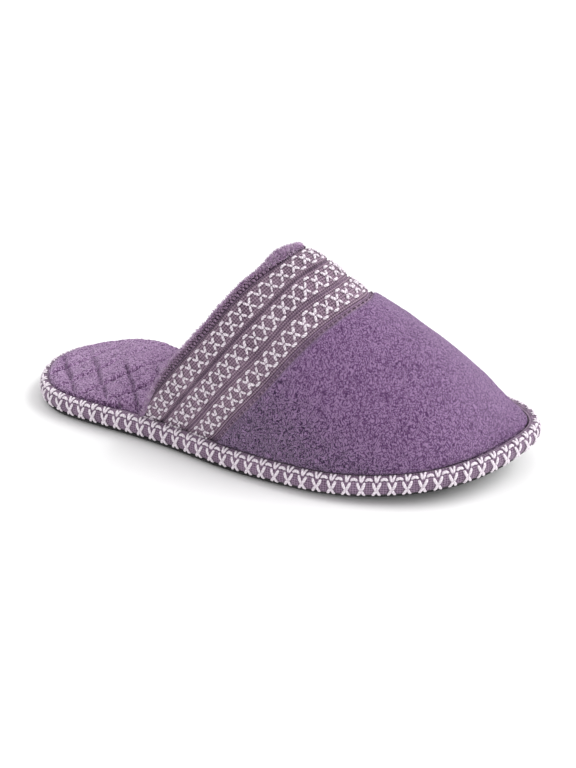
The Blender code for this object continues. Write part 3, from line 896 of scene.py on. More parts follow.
def crossAndDash(rng, centreAcross, firstAlong, lastAlong):  # the tape's crosses and the dashes between them
    pitch, half = yarnLook["pitch"], yarnLook["halfWidth"]
    root, bend, tip = tapePattern["arm"]
    dashHalf, (dashEnd, dashMiddle) = tapePattern["dashHalf"], tapePattern["dashAcross"]
    strokes = []
    for number in range(math.floor(firstAlong / pitch), math.ceil(lastAlong / pitch) + 1):
        here = number * pitch + rng.normal(0.0, tapePattern["placeUneven"])
        for side in (-1, 1):
            for end in (-1, 1):
                shift = rng.normal(0.0, tapePattern["armUneven"], 6)
                plump = half * (1.0 + shift[4] * tapePattern["plumpUneven"])
                strokes.append([
                    (here + side * root[0] + shift[0], centreAcross + end * root[1] + shift[1], plump),
                    (here + side * bend[0] + shift[2], centreAcross + end * bend[1], half),
                    (here + side * tip[0] + shift[3], centreAcross + end * tip[1] + shift[5], half),
                ])
        between = here + pitch / 2
        for end in (-1, 1):
            shift = rng.normal(0.0, tapePattern["dashUneven"], 4)
            strokes.append([
                (between - dashHalf + shift[0], centreAcross + end * dashEnd + shift[1],
                 half * tapePattern["dashFullness"]),
                (between, centreAcross + end * dashMiddle, half),
                (between + dashHalf + shift[2], centreAcross + end * dashEnd + shift[3], half),
            ])
    return strokes


rng = np.random.default_rng(7)
for tapeName, tapeMiddle, tapeTable in zip(tapeNames, tapeMiddles, tapeTables):
    row = tableRows(tapeTable, tapeMiddle)["label"][0]
    pattern = crossAndDash(rng, tapeMiddle, row[0] - yarnLook["pastEnds"], row[-1] + yarnLook["pastEnds"])
    pattern = [stroke for stroke in pattern
               if clearOfTrim(tapeTable, row, stroke, min(point[1] for point in stroke))]
    makeYarn(tapeName + "Yarn", tapeTable, pattern, -tapeLook["top"] + yarnLook["lift"], offWhiteYarn, "woven_tape")

collarStitchLook = {
    "light": (0.31, 0.20, 0.305, 1.0),
    "shade": (0.13, 0.07, 0.13, 1.0),
    "pitch": 0.0021,
    "wide": 0.00085,
    "slant": 0.6,
    "halfWidth": 0.00066,
    "fullness": 1.1,
    "uneven": 0.00026,
    "lift": -0.0010,
    "outerLine": 0.0013,  # from the collar's line
    "innerLine": 0.0028,
}
frontStitchLook = {
    "light": (0.16, 0.085, 0.16, 1.0),
    "shade": (0.06, 0.028, 0.06, 1.0),
    "pitch": 0.0030,
    "long": 0.0021,
    "halfWidth": 0.00036,
    "uneven": 0.00012,
    "lift": -0.0015,
    "inset": 0.0015,
}
mauveThread = makeYarnMaterial("mauveThread", collarStitchLook)
darkThread = makeYarnMaterial("darkThread", frontStitchLook)


def slantedStitches(rng, table, across):  # short slanting stitches, as on a bound edge
    look, row = collarStitchLook, tableRows(table, across)["label"][0]
    wide, half, strokes = look["wide"], look["halfWidth"], []
    for here in np.arange(row[0], row[-1], look["pitch"]):
        shift = rng.normal(0.0, look["uneven"], 4)
        strokes.append([
            (here - wide * look["slant"] + shift[0], across - wide + shift[1], half),
            (here, across, half * look["fullness"]),
            (here + wide * look["slant"] + shift[2], across + wide + shift[3], half),
        ])
    return [stroke for stroke in strokes if clearOfTrim(table, row, stroke, across)]


def runningStitches(rng, table, across):  # one even line of short stitches along a tape
    look, row = frontStitchLook, tableRows(table, across)["label"][0]
    long, half, strokes = look["long"], look["halfWidth"], []
    for here in np.arange(row[0], row[-1], look["pitch"]):
        shift = rng.normal(0.0, look["uneven"], 4)
        strokes.append([
            (here + shift[0], across + shift[1], half),
            (here + long / 2, across, half),
            (here + long + shift[2], across + shift[3], half),
        ])
    return [stroke for stroke in strokes if clearOfTrim(table, row, stroke, across)]


for stitchName, line in (("collarStitches", "outerLine"), ("collarInnerStitches", "innerLine")):
    stitches = slantedStitches(rng, bandTable, collarStitchLook[line])
    makeYarn(stitchName, bandTable, stitches, collarStitchLook["lift"], mauveThread, "woven_tape")
stitches = runningStitches(rng, frontTable, bandEnd - frontStitchLook["inset"])
makeYarn("frontStitches", frontTable, stitches, frontStitchLook["lift"], darkThread, "woven_tape")

terryLook = {
    "loopSize": 0.00086,
    "gap": (0.028, 0.008, 0.045, 1.0),
    "base": (0.130, 0.054, 0.158, 1.0),
    "tip": (0.350, 0.210, 0.396, 1.0),
    "sheen": 0.46,
    "sheenTint": (0.92, 0.80, 1.0, 1.0),
    "bump": 0.0010,
    "rows": 288,
    "columns": 320,
    "seamRows": 16,
    "seamOver": 0.0008,  # how far the terry's edge lies over the front border
    "seamSpread": 0.0062,
    "rollRadius": 0.0026,  # of the turned edge at the seam and at the foot
    "sunk": 0.0020,
    "toeEasing": 1.45,
    "pastSeam": 0.02,
    "tipGap": 0.00002,
    "tipRound": 0.0004,
    "footSunk": 0.0008,
    "footShare": 0.25,
    "under": 0.0026,
    "puff": 0.0001,
    "crumb": 0.0009,
    "pileSize": 0.0010,
    "unevenness": 0.00035,
    "unevenSize": 0.016,
    "girth": 0.17,  # from foot to foot, for the troughs and ridges
    "formEnds": 0.35,  # how much of their rise is left at their ends
    "formTaper": 0.7,
    "strongest": 1.3,  # the pile's contrast, which fades towards the toe and the ridge
    "fade": 0.95,
    "fadeStart": 0.56,
    "fadeSpread": 0.34,
    "fadeHeight": 0.06,
    # painted light: how much paler the terry is made where its contrast fades, towards the toe and the top
    "paintedLight": 0.75,
}
softForms = (  # troughs and ridges over the vamp: share along and turn at both ends, half width, rise
    (0.500, 0.10, 0.625, 0.45, 0.0050, -0.0008), (0.575, 0.12, 0.690, 0.44, 0.0080, 0.0007),
    (0.700, 0.16, 0.780, 0.42, 0.0060, -0.0006), (0.800, 0.10, 0.860, 0.46, 0.0090, 0.0006),
    (0.640, 0.55, 0.560, 0.88, 0.0060, -0.0007), (0.760, 0.56, 0.690, 0.86, 0.0080, 0.0006),
)
pileShape = {  # sizes beside the pile's own size, and shares of its height
    "warpSize": 3.2,
    "warp": 1.2,
    "crumbSize": 1.7,
    "crumbContrast": 1.9,
    "crumbShare": 0.55,
    "wormSize": 1.9,
    "wormContrast": 4.5,
    "wormShare": 0.45,
    "slowSize": 5.0,
    "slowShare": 0.15,
}
vampTerryCloth = makeTerryMaterial("vampTerryCloth", terryLook)


def pileField(points, size, seed):  # 0 in the gaps and 1 on the crumbs
    bent = warped(points, size * pileShape["warpSize"], size * pileShape["warp"])
    crumbs = cellsAt(bent, size * pileShape["crumbSize"], seed, pileShape["crumbContrast"])
    worms = np.abs(noiseAt(bent, size * pileShape["wormSize"], seed + 9.0)) * pileShape["wormContrast"]
    slow = 0.5 + 0.5 * noiseAt(points, size * pileShape["slowSize"], seed + 21.0)
    mixed = pileShape["crumbShare"] * crumbs + pileShape["wormShare"] * np.clip(worms, 0.0, 1.0)
    return np.clip(mixed + pileShape["slowShare"] * (slow - 0.5), 0.0, 1.0)


def softRelief(points, turns):  # the rise of the soft troughs and ridges
    along = points[..., 0]
    girth = terryLook["girth"] * np.broadcast_to(turns, along.shape)
    rise = np.zeros(along.shape)
    for fromAlong, fromTurn, toAlong, toTurn, halfWidth, height in softForms:
        start = np.array([fromAlong * shoe["length"], terryLook["girth"] * fromTurn])
        way = np.array([toAlong * shoe["length"], terryLook["girth"] * toTurn]) - start
        share = np.clip(((along - start[0]) * way[0] + (girth - start[1]) * way[1]) / (way @ way), 0.0, 1.0)
        away = np.hypot(along - start[0] - share * way[0], girth - start[1] - share * way[1])
        middle = np.sin(np.pi * np.clip(share, 0.02, 0.98)) ** terryLook["formTaper"]
        fade = terryLook["formEnds"] + (1.0 - terryLook["formEnds"]) * middle
        rise += height * fade * hump(away, 0.0, halfWidth)
    return rise


def makeVampTerry():
    turns = np.linspace(0.0, 1.0, terryLook["columns"] + 1)
    fromSeam = terryLook["seamSpread"] * np.linspace(0.0, 1.0, terryLook["seamRows"] + 1)
    seamLines = tableRows(bandTable, bandEnd - terryLook["seamOver"] + fromSeam)["lines"]
    start, toe = seamLines[-1], vampSides(0.0)[2][0]
    farRows = terryLook["rows"] - terryLook["seamRows"]
    eased = 1.0 - (1.0 - np.arange(1, farRows + 1) / farRows) ** terryLook["toeEasing"]
    farLines = start[None, :] + (toe - terryLook["tipGap"] - start)[None, :] * eased[:, None]
    points = vamp(np.concatenate([seamLines, farLines]), turns[None, :])
    normals = gridNormals(points, (0.0, 0.0, 1.0))
    normals[-1] = normals[-3].mean(axis=0) / np.linalg.norm(normals[-3].mean(axis=0))
    steps = np.linalg.norm(np.diff(points, axis=1), axis=2)
    girth = np.concatenate([np.zeros((len(points), 1)), np.cumsum(steps, axis=1)], axis=1)
    fromTip = np.linalg.norm(points - points[-1, 0], axis=2)
    fromFoot = np.minimum(np.minimum(girth, girth[:, -1:] - girth), fromTip + terryLook["tipRound"])
    fromSeam = np.concatenate([fromSeam, np.full(farRows, terryLook["pastSeam"])])[:, None]
    roll = roundedEdge(fromSeam, terryLook["rollRadius"])
    tuck = roundedEdge(fromFoot, terryLook["rollRadius"])
    pile = pileField(points, terryLook["pileSize"], seed=2.0)
    along = points[..., 0] / shoe["length"]
    lower = (points[..., 2] - shoe["upperFoot"]) / terryLook["fadeHeight"]
    fading = (along - terryLook["fadeStart"] + terryLook["fadeSpread"] * lower) / terryLook["fadeSpread"]
    strong = terryLook["strongest"] - terryLook["fade"] * smoothStep(fading)
    height = -terryLook["sunk"] + (terryLook["sunk"] + terryLook["puff"]) * roll
    height = height + terryLook["crumb"] * strong * (pile - 0.5) * roll
    uneven = terryLook["unevenness"] * noiseAt(points, terryLook["unevenSize"], seed=71.0)
    height = height + (softRelief(points, turns) + uneven) * roll
    height = height * (terryLook["footShare"] + (1.0 - terryLook["footShare"]) * tuck)
    height = height - terryLook["footSunk"] * (1.0 - tuck)
    grid = points + normals * height[..., None]
    low = points[::underStep, ::underStep] - normals[::underStep, ::underStep] * terryLook["under"]
    low[-1] = low[-1, 0]  # all the columns meet at the tip
    made = addMesh("vampTerry", *closedShell(grid, low), vampTerryCloth, ("upper",), "vamp_terry")
    # the pile's tone follows its relief; where the contrast fades, towards the toe and the top, it is also made paler
    # as painted light
    tone = 0.5 + (pile - 0.5) * strong + terryLook["paintedLight"] * np.maximum(1.0 - strong, 0.0)
    addValues(made, "pile", withUnder(tone, low))
    addValues(made, "crumble", withUnder(strong, low))


makeVampTerry()

fleeceLook = {
    "loopSize": 0.0018,
    "gap": (0.40, 0.235, 0.43, 1.0),
    "base": (0.68, 0.45, 0.71, 1.0),
    "tip": (0.90, 0.70, 0.91, 1.0),
    "sheen": 0.2,
    "sheenTint": (0.98, 0.86, 1.0, 1.0),
    "bump": 0.0007,
    "crumble": 0.6,
    "rollRows": 26,
    "rows": 132,
    "columns": 240,
    "plainRoll": 0.05,  # how far the roll stands out behind the collar, away from the ridge
    "swell": 2.8,  # and at the swelling on the ridge
    "swellTurn": 0.455,
    "swellWidths": (0.065, 0.045),  # below and above it
    "beyond": 1.2,  # and at the lesser one past the ridge
    "beyondTurn": 0.56,
    "beyondWidth": 0.065,
    "tuckDepth": 0.0021,
    "tuckFade": 2.2,
    "insideStart": 0.0014,
    "insideDepth": 0.005,
    "toeGap": 0.0004,
    "toeEasing": 1.4,
    "pileSize": 0.0014,
    "pileHeight": 0.0012,
    "lumpSize": 0.0035,
    "wideLumpSize": 0.009,
    "wideLumpShare": 0.6,
    "lumpHeight": 0.0009,
    "plainLumps": 0.15,  # how lumpy it is away from the ridge
    "under": 0.0004,
}
fleeceCloth = makeTerryMaterial("fleeceCloth", fleeceLook)
rollRows = (  # share of the way round the roll, distance from the collar line, depth under the face
    (0.0, 0.0010, 0.0024), (0.08, 0.0010, 0.0012), (0.22, 0.0004, 0.0004), (0.38, -0.0004, 0.0006),
    (0.52, -0.0010, 0.0014), (0.64, -0.0013, 0.0026), (0.78, -0.0009, 0.0038), (0.9, 0.0, 0.0046),
    (1.0, 0.0014, 0.0050),
)


def makeFleece():  # the lining, with its roll along the collar
    turns = bandTable["turns"]
    share = np.linspace(0.0, 1.0, fleeceLook["rollRows"] + 1)
    distance = smoothTable([(row[0], row[1]) for row in rollRows], share)
    depth = smoothTable([(row[0], row[2]) for row in rollRows], share)
    widths = np.where(turns < fleeceLook["swellTurn"], *fleeceLook["swellWidths"])
    swell = hump(turns, fleeceLook["swellTurn"], widths)
    beyond = hump(turns, fleeceLook["beyondTurn"], fleeceLook["beyondWidth"])
    onRidge = np.clip(swell + beyond, 0.0, 1.0)
    full = fleeceLook["plainRoll"] + fleeceLook["swell"] * swell + fleeceLook["beyond"] * beyond
    places = footTrim(turns)[None, :] + np.maximum(distance, 0.0)[:, None]
    places = places + np.minimum(distance, 0.0)[:, None] * full[None, :]
    found = tableRows(bandTable, places)
    # away from the ridge the roll is tucked under the border
    away = 1.0 - np.clip(onRidge * fleeceLook["tuckFade"], 0.0, 1.0)
    tucked = away * np.maximum(fleeceLook["tuckDepth"] - depth, 0.0)[:, None]
    rollPoints = found["points"] - found["normals"] * (depth[:, None] + tucked)[..., None]
    start = tableRows(bandTable, footTrim(turns)[None, :] + fleeceLook["insideStart"])["lines"][0]
    toe = vampSides(fleeceLook["insideDepth"])[2][0]
    farRows = fleeceLook["rows"] - fleeceLook["rollRows"]
    eased = 1.0 - (1.0 - np.arange(1, farRows + 1) / farRows) ** fleeceLook["toeEasing"]
    lines = start[None, :] + (toe - fleeceLook["toeGap"] - start)[None, :] * eased[:, None]
    grid = np.concatenate([rollPoints, vamp(lines, turns[None, :], fleeceLook["insideDepth"])])
    normals = gridNormals(grid, (0.0, 0.0, -1.0))
    if normals[-40, grid.shape[1] // 2, 2] > 0:  # inside, well past the roll, they point down
        normals = -normals
    pile = pileField(grid, fleeceLook["pileSize"], seed=31.0)
    wideLump = fleeceLook["wideLumpShare"] * noiseAt(grid, fleeceLook["wideLumpSize"], seed=14.0)
    lump = noiseAt(grid, fleeceLook["lumpSize"], seed=4.0) + wideLump
    rollZone = np.concatenate([np.sin(np.pi * np.clip(share, 0.0, 1.0)) ** 0.5, np.full(farRows, 0.5)])[:, None]
    height = fleeceLook["pileHeight"] * (pile - 0.5) + fleeceLook["lumpHeight"] * lump
    lumpy = fleeceLook["plainLumps"] + (1.0 - fleeceLook["plainLumps"]) * onRidge
    grid = grid + normals * (height * rollZone * lumpy)[..., None]
    low = grid[::underStep, ::underStep] - normals[::underStep, ::underStep] * fleeceLook["under"]
    made = addMesh("fleeceLining", *closedShell(grid, low), fleeceCloth, ("upper",), "vamp_terry")
    addValues(made, "crumble", np.full(len(made.data.vertices), fleeceLook["crumble"]))
    addValues(made, "pile", withUnder(pile, low))
    return rollPoints, normals[:len(rollPoints)]


rollPoints, rollNormals = makeFleece()

fibreLook = {
    "lean": 0.45,
    "bend": 0.5,
    "lengths": (0.5, 1.3),  # shares of the given length
    "rooted": 0.0003,
    "thinning": 0.75,
    "corners": (0.0, 2.094, 4.189),  # thirds of a turn
    "crumble": 0.3,
    "pile": (0.55, 0.85, 1.1),  # at the root, the middle and the tip; darker at the root, as painted shade where the fibre meets the cloth
}


# Short bent fibres, each a thin spike of seven points.
def makeFuzz(name, slot, roots, directions, length, width, seed):
    rng = np.random.default_rng(seed)
    count = len(roots)
    first = directions + rng.normal(0.0, fibreLook["lean"], (count, 3))
    first /= np.linalg.norm(first, axis=1)[:, None]
    second = first + rng.normal(0.0, fibreLook["bend"], (count, 3))
    second /= np.linalg.norm(second, axis=1)[:, None]
    long = length * rng.uniform(*fibreLook["lengths"], (count, 1))
    middle = roots + first * long * 0.5
    tip = middle + second * long * 0.5
    aside = np.cross(first, rng.normal(0.0, 1.0, (count, 3)))
    aside /= np.linalg.norm(aside, axis=1)[:, None]
    other = np.cross(first, aside)
    rings = []
    for base, scale in ((roots - first * fibreLook["rooted"], 1.0), (middle, fibreLook["thinning"])):
        for angle in fibreLook["corners"]:
            rings.append(base + (aside * math.cos(angle) + other * math.sin(angle)) * width * scale)
    points = np.stack(rings + [tip], axis=1)
    walls = np.array([(0, 1, 4, 3), (1, 2, 5, 4), (2, 0, 3, 5)])
    caps = np.array([(3, 4, 6), (4, 5, 6), (5, 3, 6), (2, 1, 0)])
    faces = []
    for shift in range(0, count * 7, 7):
        faces += (walls + shift).tolist() + (caps + shift).tolist()
    made = addMesh(name, points.reshape(-1, 3), faces, fleeceCloth, (), slot)
    addValues(made, "crumble", np.full(count * 7, fibreLook["crumble"]))
    addValues(made, "pile", np.tile(np.repeat(fibreLook["pile"], (3, 3, 1)), count))


# Places on a grid of points, evenly likely over its area, with what the other grids hold there.
def scatter(points, others, count, seed):
    rng = np.random.default_rng(seed)
    area = np.linalg.norm(np.cross(np.diff(points, axis=0)[:, :-1], np.diff(points, axis=1)[:-1]), axis=2).ravel()
    chosen = rng.choice(len(area), count, p=area / area.sum())
    row, column = np.divmod(chosen, points.shape[1] - 1)
    a, b = rng.uniform(0.0, 1.0, (2, count, 1))
    mixed = []
    for grid in (points, *others):
        mixed.append(grid[row, column] * (1 - a) * (1 - b) + grid[row + 1, column] * a * (1 - b)
                     + grid[row, column + 1] * (1 - a) * b + grid[row + 1, column + 1] * a * b)
    return mixed


borderFuzzLook = {
    "count": 5200,
    "length": 0.0021,
    "width": 0.00015,
    "strip": (0.0001, 0.0012),  # from the collar's cut edge
    "depth": 0.0011,
    "upwards": 0.5,
}
collarFuzzLook = {
    "count": 12000,
    "length": 0.0008,
    "longer": 0.0020,  # by how much, on the ridge
    "width": 0.00016,
    "rows": slice(2, 18),
}


def makeCollarFuzz():
    turns = bandTable["turns"]
    places = footTrim(turns)[None, :] + np.linspace(*borderFuzzLook["strip"], 6)[:, None]
    edge = tableRows(bandTable, places)
    outwards = edge["points"][0] - edge["points"][-1]
    outwards /= np.linalg.norm(outwards, axis=1)[:, None]
    ways = borderFuzzLook["upwards"] * edge["normals"] + outwards[None]
    points = edge["points"] - edge["normals"] * borderFuzzLook["depth"]
    roots, rootWays = scatter(points, (ways,), borderFuzzLook["count"], seed=21)
    makeFuzz("borderFuzz", "woven_tape", roots, rootWays, borderFuzzLook["length"], borderFuzzLook["width"], seed=6)
    rows = collarFuzzLook["rows"]
    turnGrid = np.broadcast_to(turns[None, :, None], rollPoints.shape)
    roots, rootWays, rootTurns = scatter(rollPoints[rows], (rollNormals[rows], turnGrid[rows]),
                                         collarFuzzLook["count"], seed=12)
    longer = collarFuzzLook["longer"] * hump(rootTurns[:, :1], band["ridgeTurn"], band["ridgeWidth"])
    length = collarFuzzLook["length"] + longer
    makeFuzz("collarFuzz", "vamp_terry", roots, rootWays, length, collarFuzzLook["width"], seed=5)


makeCollarFuzz()

edgeLook = {
    "rib": 0.0012,
    "pick": 0.0013,
    "ground": (0.36, 0.25, 0.36, 1.0),
    "shade": (0.09, 0.045, 0.095, 1.0),
    "yarnLight": (0.93, 0.86, 0.92, 1.0),
    "yarnShade": (0.76, 0.66, 0.75, 1.0),
    "yarnPlies": 0.04,
    "yarnLift": 0.0001,
    "ringSteps": 1040,
    "sectionSteps": 28,
    "bulge": 0.0004,
    "unevenness": 0.00018,
    "unevenSize": 0.004,
}
edgeCloth = makeRibMaterial("edgeCloth", edgeLook)
edgeYarn = makeYarnMaterial("edgeYarn", {"light": edgeLook["yarnLight"], "shade": edgeLook["yarnShade"]})


def makeEdgeTable():
    rows = np.array(bindingRows) * (shoe["bindingWidth"], shoe["bindingHeight"])
    run = np.concatenate([[0.0], np.cumsum(np.linalg.norm(np.diff(rows, axis=0), axis=1))])
    places = np.linspace(0.0, run[-1], edgeLook["sectionSteps"] + 1)
    inward = smoothTable(list(zip(run, rows[:, 0])), places)
    up = shoe["bindingFoot"] + smoothTable(list(zip(run, rows[:, 1])), places)
    chosen = np.linspace(0, len(outline), edgeLook["ringSteps"], endpoint=False).astype(int)
    chosen = np.append(chosen, chosen[0])
    plan, aside = outline[chosen], outlineNormals[chosen]
    label = np.concatenate([[0.0], np.cumsum(np.linalg.norm(np.diff(plan, axis=0), axis=1))])
    points = np.empty((len(places), len(chosen), 3))
    points[..., :2] = plan[None] - aside[None] * inward[:, None, None]
    points[..., 2] = up[:, None] + toeLift(points[..., 0])
    normals = gridNormals(points, (0.0, 0.0, 1.0))
    if normals[len(places) // 3, 100] @ np.array([*aside[100], 0.0]) < 0:  # the outer face points outwards
        normals = -normals
    for row in normals:
        row[0] = row[-1] = row[0] + row[-1]
    normals /= np.linalg.norm(normals, axis=2)[..., None]
    label = np.broadcast_to(label, points.shape[:2])
    return {"across": places, "label": label, "points": points, "normals": normals, "inward": inward, "up": up}


edgeTable = makeEdgeTable()


def makeEdgeTape():  # the bound tape, open inside, with a wall that closes it behind
    points, normals, label = (edgeTable[key][:, :-1] for key in ("points", "normals", "label"))
    rows, columns = points.shape[:2]
    share = np.linspace(0.0, 1.0, rows)[:, None]
    uneven = edgeLook["unevenness"] * noiseAt(points, edgeLook["unevenSize"], seed=8.0)
    soft = uneven + edgeLook["bulge"] * np.sin(np.pi * share)
    grid = points + normals * soft[..., None]
    inner = grid[-1].copy()
    inner[:, 2] -= shoe["bindingHeight"]
    faces = []
    for row in range(rows + 1):  # the last two rings of faces are the inner wall and the underside
        here, above = row * columns, (row + 1) % (rows + 1) * columns
        for column in range(columns):
            after = (column + 1) % columns
            faces.append((here + column, here + after, above + after, above + column))
    uv = np.stack([label, np.broadcast_to(edgeTable["across"][:, None], label.shape)], axis=-1).reshape(-1, 2)
    uv = np.concatenate([uv, np.zeros((columns, 2))])
    allPoints = np.concatenate([grid.reshape(-1, 3), inner])
    made = addMesh("edgeTape", allPoints, faces, edgeCloth, ("edge_binding",), "edge_tape", uv)
    addValues(made, "shaded", np.zeros(len(allPoints)))


makeEdgeTape()


def atHeight(height):  # the place round the edge tape's section, by height on its outer face
    top = int(edgeTable["up"].argmax())
    return float(np.interp(height, edgeTable["up"][:top + 1], edgeTable["across"][:top + 1]))


def atInward(inward):  # and by distance in from the edge on its top
    side = int(edgeTable["inward"].argmin())
    return float(np.interp(inward, edgeTable["inward"][side:], edgeTable["across"][side:]))


edgePattern = {
    "pitch": 0.0072,
    "halfWidth": 0.00074,
    "uneven": 0.00013,
    "lowArm": (0.0001, 0.0009, 0.0020),  # along the edge, out from a cross's middle
    "highArm": (0.0001, 0.0012, 0.0020),
    "overlap": 0.0003,
    "armBottom": 0.0036,  # heights on the tape's outer face
    "crossing": 0.0066,
    "armTop": 0.0104,
    "tipHalfWidth": 0.0006,
    "tipFoot": 0.0101,
    "tipEnd": 0.0033,  # distances in over its top
    "dash": 0.0013,
    "leftTip": (-0.0001, -0.0005, -0.0009),
    "rightTip": (0.0002, 0.0009, 0.0018),
    "tipBow": 0.0001,
    "dashHalf": 0.0019,
    "dashBow": (0.0006, 0.0002),
    "dashFullness": 0.95,
}


def edgeStrokes():  # the chain round the sole: crosses on the outer face, forked tips and dashes over the top
    rng = np.random.default_rng(19)
    total = float(edgeTable["label"][0, -1])
    count = round(total / edgePattern["pitch"])
    pitch = total / count
    half, thin, overlap = edgePattern["halfWidth"], edgePattern["tipHalfWidth"], edgePattern["overlap"]
    low, cross, high = (atHeight(edgePattern[key]) for key in ("armBottom", "crossing", "armTop"))
    foot, dash, end = atHeight(edgePattern["tipFoot"]), atInward(edgePattern["dash"]), atInward(edgePattern["tipEnd"])
    dashHalf, (bowEnd, bowMiddle) = edgePattern["dashHalf"], edgePattern["dashBow"]
    strokes = []
    for number in range(count):
        here = (number + 0.5) * pitch
        for side in (-1, 1):
            shift = rng.normal(0.0, edgePattern["uneven"], 6)
            for arm, root, reach, moved in (("lowArm", cross + overlap, low, shift[:3]),
                                            ("highArm", cross - overlap, high, shift[3:])):
                out = edgePattern[arm]
                strokes.append([
                    (here + side * out[0] + moved[0], root, half),
                    (here + side * out[1] + moved[1], (cross + reach) / 2, half),
                    (here + side * out[2] + moved[2], reach, half),
                ])
        for tip, bow, moved in (("leftTip", 0.0, shift[[1, 2, 3]]),
                                ("rightTip", edgePattern["tipBow"], shift[[0, 4, 5]])):
            out = edgePattern[tip]
            strokes.append([
                (here + out[0] + moved[0], foot, thin),
                (here + out[1] + moved[1], (foot + end) / 2 + bow, thin),
                (here + out[2] + moved[2], end, thin),
            ])
        if number < count - 1:
            between = here + pitch / 2
            strokes.append([
                (between - dashHalf, dash - bowEnd, half),
                (between, dash + bowMiddle, half * edgePattern["dashFullness"]),
                (between + dashHalf, dash - bowEnd, half),
            ])
    return strokes


edgeYarnLift = edgeLook["bulge"] + edgeLook["yarnLift"]
makeYarn("edgeTapeYarn", edgeTable, edgeStrokes(), edgeYarnLift, edgeYarn, "edge_tape", edgeLook["yarnPlies"])

insoleLook = {
    "loopSize": 0.00095,
    "gap": (0.060, 0.024, 0.070, 1.0),
    "base": (0.215, 0.113, 0.240, 1.0),
    "tip": (0.47, 0.310, 0.505, 1.0),
    "sheen": 0.45,
    "sheenTint": (0.95, 0.83, 1.0, 1.0),
    "bump": 0.0006,
    "crumble": 0.45,
    "rows": 400,
    "columns": 140,
    "foot": 0.0120,  # height of the rim
    "rise": 0.0048,
    "openInset": 0.0037,  # where the heel lies open
    "openLift": 0.0003,
    "coveredInset": 0.0058,  # and where the vamp's wall stands on the rim
    "coveredRim": 0.0026,
    "vampStart": 0.237,  # share of the length
    "vampSpread": 0.045,
    "vampSlant": 0.024,
    "slantWidth": 0.02,
    "thinning": 0.9,
    "thinStart": 0.78,
    "thinSpread": 0.16,
    "edgeRound": 0.0035,
    "edgeHeight": 0.92,
    "heelShare": 0.46,
    "heelStart": 0.012,
    "heelSpread": 0.050,
    "swell": 0.0027,  # a low swelling on the heel's inner side
    "swellAlong": 0.042,
    "swellWidth": 0.019,
    "swellAcross": 0.025,
    "puff": 0.0006,
    "pileSize": 0.0009,
    "pileHeight": 0.0009,
    "pileAtEdge": 0.4,
    "unevenness": 0.0005,
    "unevenSize": 0.011,
    "innerEdge": 0.004,
    "quiltSpacing": 0.018,
    "quiltSlope": 1.4,
    "quiltStarts": (0.0098, 0.0012),
    "channelDepth": 0.0026,
    "channelWidth": 0.0031,
    "channelSharpness": 2.6,
    "wander": 0.0006,
    "wanderSize": 0.006,
    "patchSize": 0.012,  # of the quilting's deeper and flatter patches
    "patchLeast": 0.55,
    "innerFade": 0.75,  # the quilting fades on the inner side
    "innerStart": 0.008,
    "innerSpread": 0.022,
    "creaseWidth": 0.0011,  # of the painted shade line in the crease against the edge tape
    "creaseMean": 0.6,
    "creasePatch": 0.0015,
    "plainTone": 0.2,
    "pileTone": 1.2,
    "channelTone": 2.0,
    "creaseShade": 3.0,
    "toneRange": (-2.4, 1.6),
    "underPull": 0.0024,
    "underHalves": (0.13, 0.045),
}
insoleTerry = makeTerryMaterial("insoleTerry", insoleLook)
crownRows = ((0.0, 0.0), (0.0002, 0.30), (0.0012, 0.60), (0.0035, 0.85), (0.008, 1.0), (0.2, 1.0))


# An even grid that fills the sole's plan, from a round-cornered square, with each place's distance from the edge.
def soleGrid(rows, columns, inset):
    outer, inner, toe = sideCurves(inset)
    heelX = max(outer[0, 0], inner[0, 0])
    p = np.linspace(-1.0, 1.0, rows + 1)[:, None]
    q = np.linspace(-1.0, 1.0, columns + 1)[None, :]
    x = p * np.sqrt(1.0 - q**2 / 2.0)
    y = q * np.sqrt(1.0 - p**2 / 2.0)
    share = np.clip(y / np.sqrt(np.maximum(1.0 - x**2, 1e-9)), -1.0, 1.0)
    along = (heelX + toe[0]) / 2.0 + (toe[0] - heelX) / 2.0 * x
    outerSide = np.interp(along, outer[:, 0], outer[:, 1])
    innerSide = np.interp(along, inner[:, 0], inner[:, 1])
    across = (outerSide + innerSide) / 2.0 + (innerSide - outerSide) / 2.0 * share
    return along, across, distanceTo(outline - outlineNormals * inset[:, None], along, across)


def quilting(along, across):  # 1 along the sewn channels, fading to 0 beside them
    spacing, width = insoleLook["quiltSpacing"], insoleLook["channelWidth"] / insoleLook["channelSharpness"]
    slope = math.atan(insoleLook["quiltSlope"])
    channel = np.zeros(along.shape)
    for sign, start in zip((1.0, -1.0), insoleLook["quiltStarts"]):
        place = along + sign * across / insoleLook["quiltSlope"] - start
        away = np.abs((place / spacing + 0.5) % 1.0 - 0.5) * spacing * math.sin(slope)
        channel = np.maximum(channel, hump(away, 0.0, width))
    return channel


def underVamp(along, slant=0.0):  # 0 where the heel lies open and 1 under the vamp
    share = along / shoe["length"]
    return smoothStep((share - insoleLook["vampStart"] - slant) / insoleLook["vampSpread"] + 1.0)


